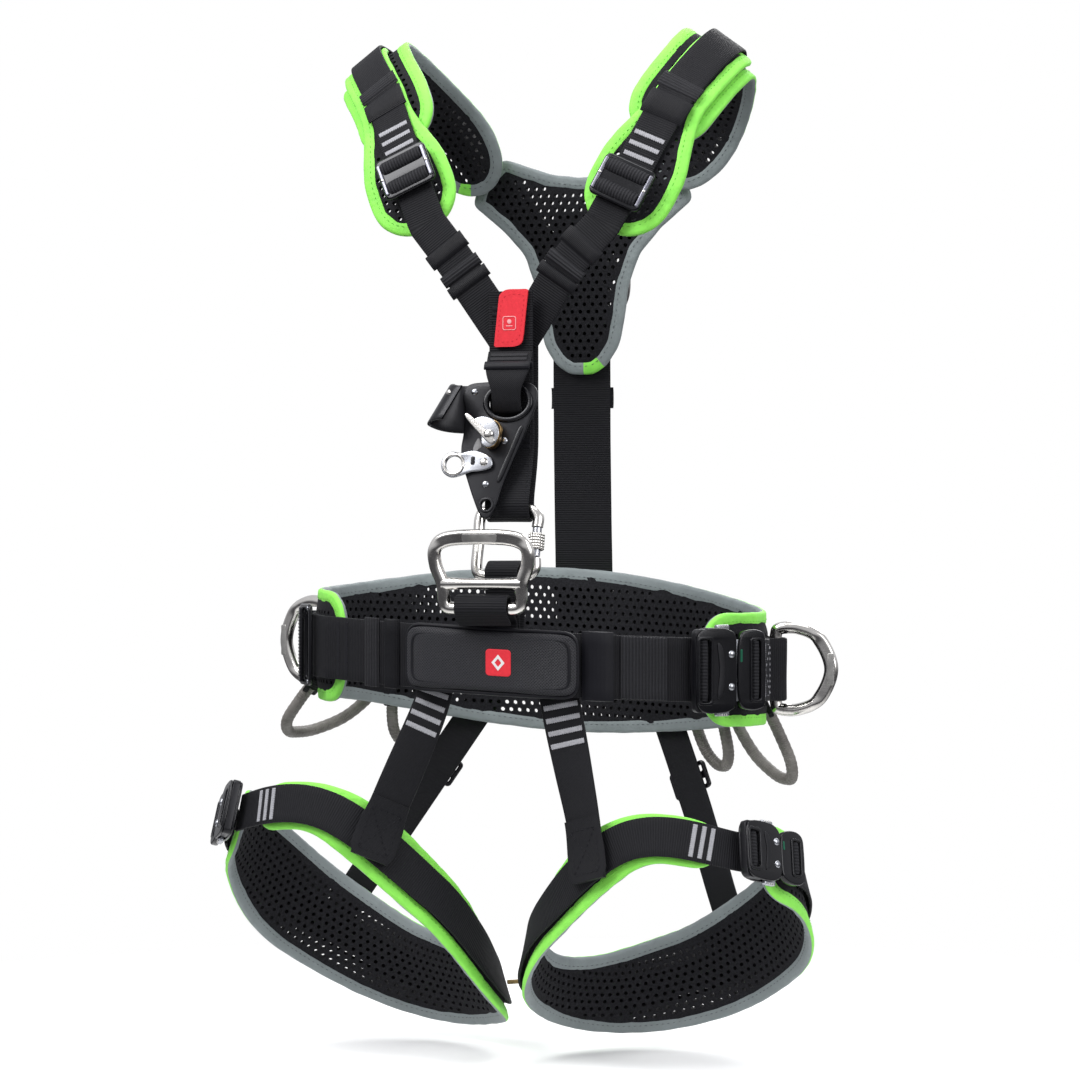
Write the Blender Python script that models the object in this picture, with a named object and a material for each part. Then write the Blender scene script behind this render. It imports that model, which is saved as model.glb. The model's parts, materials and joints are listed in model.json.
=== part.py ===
"""Tree climbing saddle with a chest yoke: a full-body work harness as separate pieces.

Frame: origin at the back rest (the middle of the back yoke's inner face), +Z up, the wearer
faces -Y, and the wearer's right side is at -X. The helpers take millimetres from the centre of
the waist loop, at mid-height of the waist webbing, and write metres from the back rest.
"""

import math

import bmesh
import bpy
from mathutils import Vector

MM = 0.001
BACK_REST = Vector((2.0, 106.0, 290.0))  # the frame's origin, from the waist loop's centre

# Waist loop: an ellipse in plan, measured at the pad's inner face
WAIST_HALF_X = 160.0
WAIST_HALF_Y = 110.0
WAIST_ROLL = 0.05  # the belt hangs this much lower per millimetre of +X

# Thicknesses and webbing widths
PAD_THICK = 8.0
WEB_THICK = 2.4
WAIST_WEB = 45.0
BODY_WEB = 28.0
REAR_WEB = 25.0
BELT_WEB_OUT = 10.2  # middle of the waist webbing, outward of the pad's inner face

# Side rings
RING_BAR_ANGLE = 97.0
RING_BAR_OUT = 14.0
RING_TUBE = 4.4
RING_HALF_HEIGHT = 29.0
RING_REACH = 40.0
RING_SWUNG_BACK = {"left": 26.0, "right": 3.0}  # degrees from straight out, as it hangs

# Where the waist buckles sit, as angles from the front
WAIST_BUCKLE_ANGLE = 56.0
WAIST_ADJUSTER_ANGLE = -66.0

# Leg loops: centre and half sizes in plan, and heights every 45 degrees from the front
# towards the outer side
LEG_HALF_X = 94.0
LEG_HALF_Y = 89.0
LEG_CENTRE_Y = -30.0
LEG_CENTRE_X = {"left": -122.0, "right": 101.0}
LEG_HEIGHTS = {
    "left": (-108, -113, -140, -196, -238, -247, -234, -166),
    "right": (-124, -133, -154, -199, -238, -249, -230, -180),
}
LEG_CONE = 0.32  # the loops open downwards: outward directions rise by this share
LEG_STEP = 7.0  # degrees between stations, shared by every layer round the thigh
LEG_BUCKLE_ANGLE = 50.0
RISER_FOOT_ANGLE = {"left": -20.0, "right": -16.0}
REAR_STRAP_TOP = {"left": -157.0, "right": 160.0}
REAR_STRAP_FOOT = {"left": 146.0, "right": 158.0}
LEG_WEB_LIFT = 6.8
LEG_TOP_LIFT = 10.6
SIDE_SIGN = {"left": -1.0, "right": 1.0}

# Shoulder line: the wing's middle surface from the back, over the shoulder, to the front, and
# on to the foot of the front pad. Each point has the direction that faces away from the body.
SHOULDER_LINE = {
    "left": (
        ((-68, 99, 352), (0, 1, 0.15)),
        ((-104, 80, 401), (-0.25, 0.75, 0.6)),
        ((-131, 20, 434), (-0.6, -0.05, 0.8)),
        ((-104, -28, 400), (-0.3, -0.85, 0.45)),
        ((-88, -48, 368), (-0.1, -0.98, 0.2)),
        ((-74, -58, 338), (-0.05, -0.98, 0.15)),
        ((-60, -65, 306), (0, -0.98, 0.12)),
    ),
    "right": (
        ((72, 99, 352), (0, 1, 0.15)),
        ((107, 80, 402), (0.25, 0.75, 0.6)),
        ((130, 20, 436), (0.6, -0.05, 0.8)),
        ((113, -28, 402), (0.3, -0.85, 0.45)),
        ((98, -48, 368), (0.1, -0.98, 0.2)),
        ((84, -58, 336), (0.05, -0.98, 0.15)),
        ((68, -65, 303), (0, -0.98, 0.12)),
    ),
}
LINE_SPANS = 6
WING_THICK = 7.0
WING_HALF_WIDTH = 30.0
SHOULDER_PAD_LIFT = 7.4  # middle of the front pad, outward of the wing's middle
SHOULDER_WEB_LIFT = 12.2
PEAR_SHIFT = 4.0  # the front pad reaches this much further towards the neck
BUCKLE_STATION = {"left": 29, "right": 31}  # where the adjusters sit along the shoulder line
# Lower points of the chest straps, down to the breastbone
CHEST_ENDS = {
    "left": ((-38, -84.5, 281), (-11, -86.2, 243)),
    "right": ((44, -84.0, 278), (20, -81.0, 243)),
}

# Chest rope clamp, connector and ventral ring
CLAMP_TOP = (6.0, -98.5, 178.0)
CLAMP_LEAN = 12.0  # degrees, the lower end forward
CONNECTOR_X = 7.0
CONNECTOR_TOP = (-101.0, 106.0)
CONNECTOR_FOOT = (-113.0, 58.0)
CONNECTOR_HALF_WIDTH = 21.0
CONNECTOR_TUBE = 4.0
VENTRAL_PIVOT = (0.0, -143.0, 37.0)
VENTRAL_TUBE = 4.6
VENTRAL_HEIGHT = 48.0
VENTRAL_WINDOW = 17.0
DORSAL_PIVOT = (0.0, 121.6, 292.0)

# Gear loop curve: share along the belt, share of the drop, share of the outward spread
GEAR_LOOP_CURVE = (
    (0.0, 0.0, 0.0),
    (0.04, 0.3, 0.35),
    (0.16, 0.7, 0.8),
    (0.34, 0.95, 1.0),
    (0.5, 1.0, 1.0),
    (0.66, 0.95, 0.85),
    (0.84, 0.7, 0.5),
    (0.96, 0.3, 0.15),
    (1.0, 0.0, 0.0),
)
TUBE_SIDES = 8


# ---------------------------------------------------------------- materials


def material(name, colour, roughness, metallic=0.0):
    """A plain Principled material."""
    made = bpy.data.materials.get(name)
    if made is None:
        made = bpy.data.materials.new(name)
        made.use_nodes = True
        shader = made.node_tree.nodes["Principled BSDF"]
        shader.inputs["Base Color"].default_value = (*colour, 1.0)
        shader.inputs["Roughness"].default_value = roughness
        shader.inputs["Metallic"].default_value = metallic
        made.diffuse_color = (*colour, 1.0)
    return made


def webbing_material():
    return material("webbing", (0.018, 0.018, 0.024), 0.75)


def foam_material():
    return material("perforated_foam", (0.022, 0.022, 0.026), 0.85)


def steel_material():
    return material("polished_steel", (0.62, 0.61, 0.6), 0.18, 1.0)


def black_alloy_material():
    return material("black_alloy", (0.02, 0.02, 0.024), 0.4, 0.6)


def red_material():
    return material("red_fabric", (0.8, 0.05, 0.07), 0.6)


def tube_material():
    return material("gear_loop_tube", (0.14, 0.13, 0.12), 0.6)


# ---------------------------------------------------------------- mesh helpers


def solid(name, vertices, faces, look, origin=BACK_REST, smooth=True):
    """One closed mesh object from millimetre vertices, its origin at a millimetre point."""
    base = Vector(origin)
    mesh = bpy.data.meshes.new(name)
    mesh.from_pydata([(Vector(v) - base) * MM for v in vertices], [], faces)
    mesh.materials.append(look)
    work = bmesh.new()
    work.from_mesh(mesh)
    bmesh.ops.recalc_face_normals(work, faces=work.faces)
    work.to_mesh(mesh)
    work.free()
    if smooth:
        mesh.shade_smooth()
        mesh.set_sharp_from_angle(angle=math.radians(40))
    made = bpy.data.objects.new(name, mesh)
    made.location = (base - BACK_REST) * MM
    bpy.context.scene.collection.objects.link(made)
    return made


def sweep(stations, profiles, closed=False):
    """Vertices and faces of profiles carried along stations of (centre, side, normal)."""
    vertices = []
    faces = []
    count = len(profiles[0])
    for (centre, side, normal), profile in zip(stations, profiles):
        vertices.extend(centre + side * across + normal * out for across, out in profile)
    rings = len(stations)
    for ring in range(rings if closed else rings - 1):
        after = (ring + 1) % rings
        for corner in range(count):
            beyond = (corner + 1) % count
            faces.append(
                (
                    ring * count + corner,
                    ring * count + beyond,
                    after * count + beyond,
                    after * count + corner,
                )
            )
    if not closed:
        faces.append(tuple(reversed(range(count))))
        faces.append(tuple(range((rings - 1) * count, rings * count)))
    return vertices, faces


def box_profile(low, high, thickness):
    """A rectangle across from low to high, centred in thickness."""
    half = thickness / 2
    return ((low, -half), (high, -half), (high, half), (low, half))


def round_profile(radius, sides=TUBE_SIDES):
    """A regular polygon for tubes and bars."""
    turns = [2 * math.pi * (i + 0.5) / sides for i in range(sides)]
    return tuple((radius * math.cos(t), radius * math.sin(t)) for t in turns)


def spline(points, spans):
    """Catmull-Rom samples through the points, with the given number of steps per span."""
    anchors = [Vector(p) for p in points]
    padded = [2 * anchors[0] - anchors[1], *anchors, 2 * anchors[-1] - anchors[-2]]
    samples = []
    for i in range(1, len(padded) - 2):
        a, b, c, d = padded[i - 1 : i + 3]
        for step in range(spans):
            t = step / spans
            samples.append(
                0.5
                * (
                    2 * b
                    + (c - a) * t
                    + (2 * a - 5 * b + 4 * c - d) * t**2
                    + (3 * b - a - 3 * c + d) * t**3
                )
            )
    samples.append(anchors[-1])
    return samples


def path_stations(centres, outwards, closed=False):
    """Stations along centres whose normals lean towards the outward directions."""
    stations = []
    last = len(centres) - 1
    for i, centre in enumerate(centres):
        before = centres[i - 1] if closed or i else centre
        after = centres[(i + 1) % len(centres)] if closed or i < last else centre
        along = (after - before).normalized()
        side = along.cross(outwards[i]).normalized()
        normal = side.cross(along).normalized()
        stations.append((centre, side, normal))
    return stations


def guided_path(guide, spans, lift=0.0):
    """Stations through (point, outward) pairs, lifted along their normals."""
    centres = spline([point for point, _ in guide], spans)
    outwards = spline([outward for _, outward in guide], spans)
    stations = path_stations(centres, outwards)
    return [(centre + normal * lift, side, normal) for centre, side, normal in stations]


def ribbon(name, stations, width, look, thickness=WEB_THICK):
    """Flat webbing of one width along the stations."""
    profile = box_profile(-width / 2, width / 2, thickness)
    return solid(name, *sweep(stations, [profile] * len(stations)), look)


def tapered(name, stations, limits, thickness, look):
    """A flat piece whose edges lie at limits(share) across, share running 0 to 1."""
    last = len(stations) - 1
    profiles = [box_profile(*limits(i / last), thickness) for i in range(last + 1)]
    return solid(name, *sweep(stations, profiles), look)


def plane_loop(points, origin, right, up, spans):
    """Closed smooth loop of centres from 2-D points in a plane, with its stations."""
    count = len(points)
    anchors = [Vector(origin) + Vector(right) * a + Vector(up) * b for a, b in points]
    centres = []
    for i in range(count):
        a, b, c, d = (anchors[(i + k) % count] for k in (-1, 0, 1, 2))
        for step in range(spans):
            t = step / spans
            centres.append(
                0.5
                * (
                    2 * b
                    + (c - a) * t
                    + (2 * a - 5 * b + 4 * c - d) * t**2
                    + (3 * b - a - 3 * c + d) * t**3
                )
            )
    facing = Vector(right).cross(Vector(up))
    return path_stations(centres, [facing] * len(centres), closed=True)


def plate(name, outline, origin, right, up, thickness, look, pivot=None, holes=()):
    """A flat plate from a 2-D outline, standing out from its plane by its thickness, with
    round-cornered holes cut by a boolean."""
    right = Vector(right).normalized()
    up = Vector(up).normalized()
    facing = right.cross(up)
    base = [Vector(origin) + right * a + up * b for a, b in outline]
    count = len(base)
    vertices = base + [point + facing * thickness for point in base]
    faces = [tuple(range(count)), tuple(range(count, 2 * count))]
    faces += [(i, (i + 1) % count, count + (i + 1) % count, count + i) for i in range(count)]
    made = solid(name, vertices, faces, look, pivot or origin, smooth=False)
    for number, hole in enumerate(holes):
        spread = [Vector(origin) + right * a + up * b for a, b in hole]
        size = len(spread)
        below = [point - facing for point in spread]
        above = [point + facing * (thickness + 1) for point in spread]
        walls = [(i, (i + 1) % size, size + (i + 1) % size, size + i) for i in range(size)]
        caps = [tuple(range(size)), tuple(range(size, 2 * size))]
        cut_with(made, solid(f"cutter_{name}_{number}", below + above, caps + walls, look))
    return made


def cut_with(target, cutter):
    """Subtract a hidden cutter, keeping the modifier on the target."""
    cutter.hide_render = True
    cutter.display_type = "WIRE"
    bite = target.modifiers.new("cut", "BOOLEAN")
    bite.operation = "DIFFERENCE"
    bite.solver = "EXACT"
    bite.object = cutter


def join_with(target, extra):
    """Union a hidden helper into the target."""
    extra.hide_render = True
    extra.display_type = "WIRE"
    union = target.modifiers.new("join", "BOOLEAN")
    union.operation = "UNION"
    union.solver = "EXACT"
    union.object = extra


def rounded_box(half_a, half_b, radius, steps=3):
    """Outline of a rounded rectangle, counter-clockwise."""
    outline = []
    for corner in range(4):
        sign_a = 1 if corner in (0, 3) else -1
        sign_b = 1 if corner in (0, 1) else -1
        for step in range(steps + 1):
            turn = math.radians(90 * corner + 90 * step / steps)
            outline.append(
                (
                    sign_a * (half_a - radius) + radius * math.cos(turn),
                    sign_b * (half_b - radius) + radius * math.sin(turn),
                )
            )
    return outline


def moved(outline, across, up):
    return [(a + across, b + up) for a, b in outline]


def rounded_limits(low, high, end, shape=2.2):
    """Edge limits of a strip with rounded ends; low and high are functions of the share."""

    def limits(share):
        near = min(share, 1 - share) / end
        closing = 1.0 if near >= 1 else max(0.12, 1 - (1 - near) ** shape) ** (1 / shape)
        middle = (low(share) + high(share)) / 2
        half = (high(share) - low(share)) / 2 * closing
        return middle - half, middle + half

    return limits


# ---------------------------------------------------------------- waist


def belt_point(angle, out, height=0.0):
    """A point on the waist loop: degrees from the front towards +X, offset outward."""
    turn = math.radians(angle)
    x = (WAIST_HALF_X + out) * math.sin(turn)
    y = -(WAIST_HALF_Y + out) * math.cos(turn)
    return Vector((x, y, height - WAIST_ROLL * x))


def belt_frame(angle, out, height=0.0):
    """Centre, along, up and outward at a point of the waist loop."""
    centre = belt_point(angle, out, height)
    along = (belt_point(angle + 0.5, out) - belt_point(angle - 0.5, out)).normalized()
    along.z = 0.0
    along.normalize()
    up = Vector((0, 0, 1))
    return centre, along, up, along.cross(up)


def belt_stations(start, end, steps, out, height=lambda angle: 0.0):
    """Stations along the waist loop; the side vector is up."""
    stations = []
    for i in range(steps + 1):
        angle = start + (end - start) * i / steps
        centre, _, up, outward = belt_frame(angle, out(angle), height(angle))
        stations.append((centre, up, outward))
    return stations


def smooth_step(value, start, end):
    """0 before start, 1 after end, eased between."""
    share = min(1.0, max(0.0, (value - start) / (end - start)))
    return share * share * (3 - 2 * share)


def build_belt_pad():
    """Lumbar pad from the front left, round the back, to the front right."""
    start = 56.0
    end = 360.0 - 49.0

    def half_height(share):
        return 39.0 + 22.0 * math.sin(math.pi * share) ** 4.5

    limits = rounded_limits(lambda s: -half_height(s), half_height, 0.05, 3.0)
    stations = belt_stations(start, end, 40, lambda angle: PAD_THICK / 2)
    tapered("belt_pad", stations, limits, PAD_THICK, foam_material())


def ring_bulge(angle):
    """How far the webbing rises over the bar of a side ring."""
    off = min(abs(angle - RING_BAR_ANGLE), abs(360 - angle - RING_BAR_ANGLE))
    return 10.4 * smooth_step(9.0 - off, 0.0, 6.0)


def build_waist_webbing():
    """The webbing on the outside of the pad, and the strap across the front."""
    stations = belt_stations(71.0, 360.0 - 57.0, 58, lambda a: BELT_WEB_OUT + ring_bulge(a))
    ribbon("waist_strap_back", stations, WAIST_WEB, webbing_material())

    def front_out(angle):
        return BELT_WEB_OUT + 3.6 * smooth_step(-angle, 48.0, 54.0)

    stations = belt_stations(-75.0, 62.0, 34, front_out)
    ribbon("waist_strap_front", stations, WAIST_WEB, webbing_material())


def build_waist_front_pad():
    """Padded cover over the middle of the front strap."""
    stations = belt_stations(-20.5, 20.5, 12, lambda angle: BELT_WEB_OUT + 9.0)
    limits = rounded_limits(lambda s: -23.5, lambda s: 23.5, 0.12, 2.5)
    tapered("waist_front_pad", stations, limits, 7.6, webbing_material())


def build_side_ring(side):
    """D-shaped ring whose straight bar lies under the waist webbing."""
    sign = SIDE_SIGN[side]
    pivot = belt_point(sign * RING_BAR_ANGLE, RING_BAR_OUT, 0.0)
    h = RING_HALF_HEIGHT
    r = RING_REACH
    half_loop = ((0, 0.5 * h), (0, 0.86 * h), (3, h), (0.42 * r, h), (0.78 * r, 0.74 * h))
    points = [(0, 0)]
    points += list(half_loop)
    points.append((r, 0))
    points += [(a, -b) for a, b in reversed(half_loop)]
    swing = math.radians(RING_SWUNG_BACK[side])
    reach = Vector((sign * math.cos(swing), math.sin(swing), 0))
    stations = plane_loop(points, pivot, reach, (0, 0, 1), 3)
    profiles = [round_profile(RING_TUBE)] * len(stations)
    vertices, faces = sweep(stations, profiles, closed=True)
    name = f"side_ring_{side}"
    ring = solid(name, vertices, faces, steel_material(), pivot)
    # the stamped flat on the bow, facing the front
    across = reach * sign
    front = across.cross(Vector((0, 0, 1)))
    centre = pivot + reach * (r - 1.0) + front * (RING_TUBE - 0.9)
    outline = rounded_box(3.4, 14.0, 1.6, 2)
    face = plate(f"flat_{name}", outline, centre, across, (0, 0, 1), 1.5, steel_material())
    join_with(ring, face)


def build_waist_adjuster():
    """Slide adjuster over the left front strap: a frame and its sliding bar."""
    centre, along, up, outward = belt_frame(WAIST_ADJUSTER_ANGLE, BELT_WEB_OUT + 6.2)
    window = rounded_box(4.0, 23.5, 1.5, 2)
    windows = [moved(window, -8.5, 0), moved(window, 8.5, 0)]
    plate(
        "waist_adjuster_frame",
        rounded_box(17.0, 29.5, 5.0),
        centre,
        along,
        up,
        3.0,
        black_alloy_material(),
        holes=windows,
    )
    plate(
        "waist_adjuster_bar",
        rounded_box(3.2, 27.5, 1.5, 2),
        centre + outward * 3.5,
        along,
        up,
        3.0,
        steel_material(),
    )


def build_quick_buckle(prefix, centre, along, up, half_height):
    """A female half with a webbing slot and a socket, a male half with a tongue, and the
    two release clips. Along points from the female half to the male half."""
    outward = along.cross(up)
    look = black_alloy_material()
    depth = 9.0
    body = rounded_box(17.0, half_height, 6.0)
    slot = moved(rounded_box(4.5, half_height - 8.0, 2.0, 2), -9.5, 0)
    female = plate(f"{prefix}_female", body, centre, along, up, depth, look, holes=[slot])
    # the socket opens towards the male half, with a notch above and below for the clips
    socket_base = centre + along * 8.0 + outward * 3.0
    socket = [(-7.0, 8.0 - half_height), (12.0, 8.0 - half_height)]
    socket += [(12.0, half_height - 8.0), (-7.0, half_height - 8.0)]
    cut_with(female, prism(f"socket_{prefix}", socket, socket_base, along, up, 3.2))
    rising = 1 if up.z > 0 else -1
    for name, sign in (("upper", rising), ("lower", -rising)):
        notch_base = centre + along * 7.0 + up * (sign * (half_height - 3.0)) + outward * 2.2
        notch = [(-6.0, -5.6), (6.0, -5.6), (6.0, 5.6), (-6.0, 5.6)]
        cut_with(female, prism(f"notch_{prefix}_{name}", notch, notch_base, along, up, 4.8))
        clip_base = centre + along * 7.0 + up * (sign * (half_height - 1.6)) + outward * 2.7
        clip = rounded_box(5.4, 3.6, 1.2, 2)
        plate(f"{prefix}_clip_{name}", clip, clip_base, along, up, 3.8, look)
    # male half: a slotted frame and a tongue that stays 0.4 clear inside the socket
    male_base = centre + along * 31.0 + outward * 2.0
    reach = half_height - 8.4
    frame = rounded_box(12.0, half_height - 1.5, 5.0)
    window = moved(rounded_box(3.6, half_height - 9.0, 1.6, 2), 3.5, 0)
    male = plate(f"{prefix}_male", frame, male_base, along, up, 5.2, look, holes=[window])
    tongue = [(-27.0, -reach), (-8.0, -reach), (-8.0, reach), (-27.0, reach)]
    join_with(
        male, prism(f"tongue_{prefix}", tongue, male_base + outward * 1.4, along, up, 2.4)
    )


def prism(name, outline, origin, right, up, thickness):
    """A plain helper block that a boolean uses."""
    return plate(name, outline, origin, right, up, thickness, black_alloy_material())


def build_gear_loop(name, start, end, top, drop, spread, lean):
    """A tube that hangs in a curve between two points on the outside of the belt. Lean is the
    share of the way from start to end where it hangs lowest."""
    out = 14.5
    points = []
    for share, fall, rise in GEAR_LOOP_CURVE:
        skewed = share ** (math.log(lean) / math.log(0.5))
        angle = start + (end - start) * skewed
        points.append(belt_point(angle, out + spread * rise, top + (drop - top) * fall))
    centres = spline(points, 3)
    middle = belt_frame((start + end) / 2, 0)[3]
    stations = path_stations(centres, [middle] * len(centres))
    vertices, faces = sweep(stations, [round_profile(4.3)] * len(stations))
    solid(name, vertices, faces, tube_material())


# ---------------------------------------------------------------- front hardware


def build_ventral_ring():
    """Forged ring with a cross bar, hinged on its hidden foot bar."""
    pivot = Vector(VENTRAL_PIVOT)
    right = Vector((1, 0, 0))
    up = Vector((0, -0.12, 1)).normalized()
    top = VENTRAL_HEIGHT
    half = ((13, 0), (24, 0), (27.5, 4), (28.5, VENTRAL_WINDOW), (33, 0.62 * top), (33, 0.86 * top))
    points = [(0, 0)]
    points += list(half)
    points += [(24, top), (0, top + 1.5), (-24, top)]
    points += [(-a, b) for a, b in reversed(half)]
    stations = plane_loop(points, pivot, right, up, 3)
    vertices, faces = sweep(stations, [round_profile(VENTRAL_TUBE)] * len(stations), closed=True)
    ring = solid("ventral_ring", vertices, faces, steel_material(), pivot)
    ends = [pivot + up * VENTRAL_WINDOW + right * (28.0 * i) for i in (-1, 1)]
    bar = path_stations(ends, [Vector((0, -1, 0))] * 2)
    shape = sweep(bar, [round_profile(VENTRAL_TUBE - 0.3)] * 2)
    join_with(ring, solid("bar_ventral_ring", *shape, steel_material()))
    # the flat on the top of the bow, facing the front
    front = right.cross(up)
    base = pivot + up * (top + 1.0) + front * (VENTRAL_TUBE - 0.9)
    face = plate("flat_ventral_ring", rounded_box(14, 3.6, 1.5, 2), base, right, up, 1.5, steel_material())
    join_with(ring, face)


def build_ventral_webbing():
    """Webbing that rises from behind the front pad, round the ring's foot bar and back."""
    x, y, z = VENTRAL_PIVOT
    turn_radius = VENTRAL_TUBE + 0.9 + WEB_THICK / 2
    points = [Vector((x, y + 5.0, z - 11.5)), Vector((x, y + 0.6 - turn_radius, z - 3.0))]
    outwards = [Vector((0, -1, 0))] * 2
    for step in range(7):
        turn = math.radians(180 - 180 * step / 6)
        direction = Vector((0, math.cos(turn), math.sin(turn)))
        points.append(Vector((x, y, z + 1.5)) + direction * turn_radius)
        outwards.append(direction)
    behind = -(WAIST_HALF_Y + BELT_WEB_OUT + WEB_THICK + 0.3)
    points += [
        Vector((x, y + turn_radius + 3.5, z - 3.5)),
        Vector((x, behind - 1.2, z - 9.5)),
        Vector((x, behind, z - 14.5)),
        Vector((x, behind, z - 36.0)),
    ]
    outwards += [Vector((0, 1, 0))] * 4
    stations = path_stations(points, outwards)
    ribbon("ventral_ring_webbing", stations, 38.0, webbing_material())


def connector_axes():
    """Foot point, up direction and facing direction of the connector's plane."""
    top = Vector((CONNECTOR_X, *CONNECTOR_TOP))
    foot = Vector((CONNECTOR_X, *CONNECTOR_FOOT))
    up = (top - foot).normalized()
    return foot, up, (top - foot).length


def build_connector():
    """Screw link: body with one open side, gate along that side, and a screw sleeve."""
    foot, up, length = connector_axes()
    right = Vector((1, 0, 0))
    half = CONNECTOR_HALF_WIDTH
    low = 0.27 * length
    high = 0.73 * length
    points = [
        (half, low),
        (half, 0.12 * length),
        (half - 6, 1.0),
        (0, 0),
        (6 - half, 1.0),
        (-half, 0.12 * length),
        (-half, 0.5 * length),
        (-half, 0.88 * length),
        (6 - half, length - 1.0),
        (0, length),
        (half - 6, length - 1.0),
        (half, 0.88 * length),
        (half, high),
    ]
    centres = spline([foot + right * a + up * b for a, b in points], 2)
    facing = right.cross(up)
    stations = path_stations(centres, [facing] * len(centres))
    profiles = [round_profile(CONNECTOR_TUBE)] * len(stations)
    pivot = foot + up * length
    solid("connector_body", *sweep(stations, profiles), steel_material(), pivot)
    gate_foot = foot + right * half + up * (low + 1.4)
    gate_top = foot + right * half + up * (high - 0.4)
    bar = path_stations([gate_foot, gate_top], [facing] * 2)
    profile = round_profile(CONNECTOR_TUBE - 0.8)
    solid("connector_gate", *sweep(bar, [profile] * 2), steel_material(), gate_foot)
    inner = CONNECTOR_TUBE - 0.4
    outer = CONNECTOR_TUBE + 1.6
    sleeve_foot = gate_foot + up * 5.0
    sleeve_length = (gate_top - gate_foot).length - 9.5
    turned_ring("connector_sleeve", sleeve_foot, up, inner, outer, sleeve_length)


def turned_ring(name, foot, axis, inner, outer, length, sides=12):
    """A plain tube with a bore."""
    across = axis.orthogonal().normalized()
    beyond = axis.cross(across)
    vertices = []
    for radius, height in ((inner, 0), (outer, 0), (outer, length), (inner, length)):
        for i in range(sides):
            turn = 2 * math.pi * i / sides
            spoke = across * math.cos(turn) + beyond * math.sin(turn)
            vertices.append(foot + axis * height + spoke * radius)
    faces = []
    for band in range(4):
        following = (band + 1) % 4
        for i in range(sides):
            j = (i + 1) % sides
            faces.append(
                (band * sides + i, band * sides + j, following * sides + j, following * sides + i)
            )
    return solid(name, vertices, faces, steel_material(), foot)


def build_connector_tab():
    """Loose webbing loop from the belt that holds the connector's foot."""
    x = CONNECTOR_X
    y, z = CONNECTOR_FOOT
    points = [
        Vector((x, y + 0.6, z - 50.0)),
        Vector((x, y - 5.5, z - 24.0)),
        Vector((x, y - 10.0, z + 2.0)),
        Vector((x, y - 5.5, z + 8.5)),
        Vector((x, y, z + 10.5)),
        Vector((x, y + 5.5, z + 8.5)),
        Vector((x, y + 9.5, z + 2.0)),
        Vector((x, y + 9.5, z - 22.0)),
        Vector((x, y + 5.5, z - 50.0)),
    ]
    middle = Vector((x, y, z - 12.0))
    outwards = [Vector((0, -1, 0))] * 3
    outwards += [(p - middle).normalized() for p in points[3:6]]
    outwards += [Vector((0, 1, 0))] * 3
    stations = path_stations(points, outwards)
    ribbon("connector_tab", stations, 24.0, webbing_material())


def build_sternal_sleeve():
    """Folded sleeve from the breastbone down to the connector's top, in one piece."""
    top_y, top_z = CONNECTOR_TOP
    x = CONNECTOR_X
    points = [
        Vector((x - 2, -91.5, 259.0)),
        Vector((x - 2, -91.8, 200.0)),
        Vector((x, -96.0, 150.0)),
        Vector((x, top_y - 6.6, top_z + 8.0)),
        Vector((x, top_y - 6.8, top_z - 1.0)),
        Vector((x, top_y - 4.6, top_z - 6.0)),
        Vector((x, top_y, top_z - 8.2)),
        Vector((x, top_y + 4.6, top_z - 6.0)),
        Vector((x, top_y + 6.8, top_z - 1.0)),
        Vector((x, top_y + 6.6, top_z + 8.0)),
        Vector((x, -84.0, 150.0)),
        Vector((x - 2, -77.5, 200.0)),
        Vector((x - 2, -76.5, 259.0)),
    ]
    middle = Vector((x, top_y, top_z + 30.0))
    outwards = [Vector((0, -1, 0))] * 4
    outwards += [(p - middle).normalized() for p in points[4:9]]
    outwards += [Vector((0, 1, 0))] * 4
    stations = path_stations(points, outwards)
    ribbon("sternal_sleeve", stations, 32.0, webbing_material())


def clamp_axes():
    """Right, up and facing directions of the chest clamp's plate."""
    right = Vector((1, 0, 0))
    lean = math.radians(CLAMP_LEAN)
    up = Vector((0, math.sin(lean), math.cos(lean)))
    return right, up, right.cross(up)


def build_chest_clamp():
    """Rope clamp: plate with a webbing hole and a rope channel, cam, catch."""
    right, up, facing = clamp_axes()
    origin = Vector(CLAMP_TOP)
    outline = [(-22, 15), (22, 15), (25, 9), (21, -22), (9, -50), (2, -74), (-8, -80)]
    outline += [(-17, -76), (-20, -62), (-22, -36), (-31, -30), (-31, 4), (-25, 10)]
    hole = [(15 * math.cos(t), 4 + 8 * math.sin(t)) for t in arc_turns(12)]
    lower_hole = [(-10 + 5 * math.cos(t), -70 + 5 * math.sin(t)) for t in arc_turns(8)]
    plate(
        "chest_clamp_body",
        outline,
        origin,
        right,
        up,
        4.0,
        black_alloy_material(),
        pivot=origin,
        holes=[hole, lower_hole],
    )
    # rope channel: a bent sheet standing forward from the plate's left part
    turns = [math.radians(-95 + 185 * i / 8) for i in range(9)]
    centre = origin + right * -31.0 + facing * 14.5 + up * -12.0
    stations = []
    for turn in turns:
        spoke = -right * math.cos(turn) - facing * math.sin(turn)
        stations.append((centre + spoke * 13.0, up, spoke))
    profile = box_profile(-19.0, 17.0, 2.6)
    channel = solid("channel_clamp", *sweep(stations, [profile] * 9), black_alloy_material())
    join_with(bpy.data.objects["chest_clamp_body"], channel)
    build_clamp_cam(origin, right, up, facing)
    build_clamp_catch(origin, right, up, facing)


def arc_turns(count):
    return [2 * math.pi * i / count for i in range(count)]


def build_clamp_cam(origin, right, up, facing):
    """Toothed cam that presses the rope into the channel."""
    pivot = origin + right * -9.0 + up * -24.0 + facing * 5.0
    outline = [(5, -6), (7, 2), (3, 10), (-6, 13), (-13, 10), (-11, 4), (-6, -1), (-5, -7), (0, -9)]
    plate("chest_clamp_cam", outline, pivot, right, up, 9.0, steel_material(), pivot=pivot)


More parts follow.
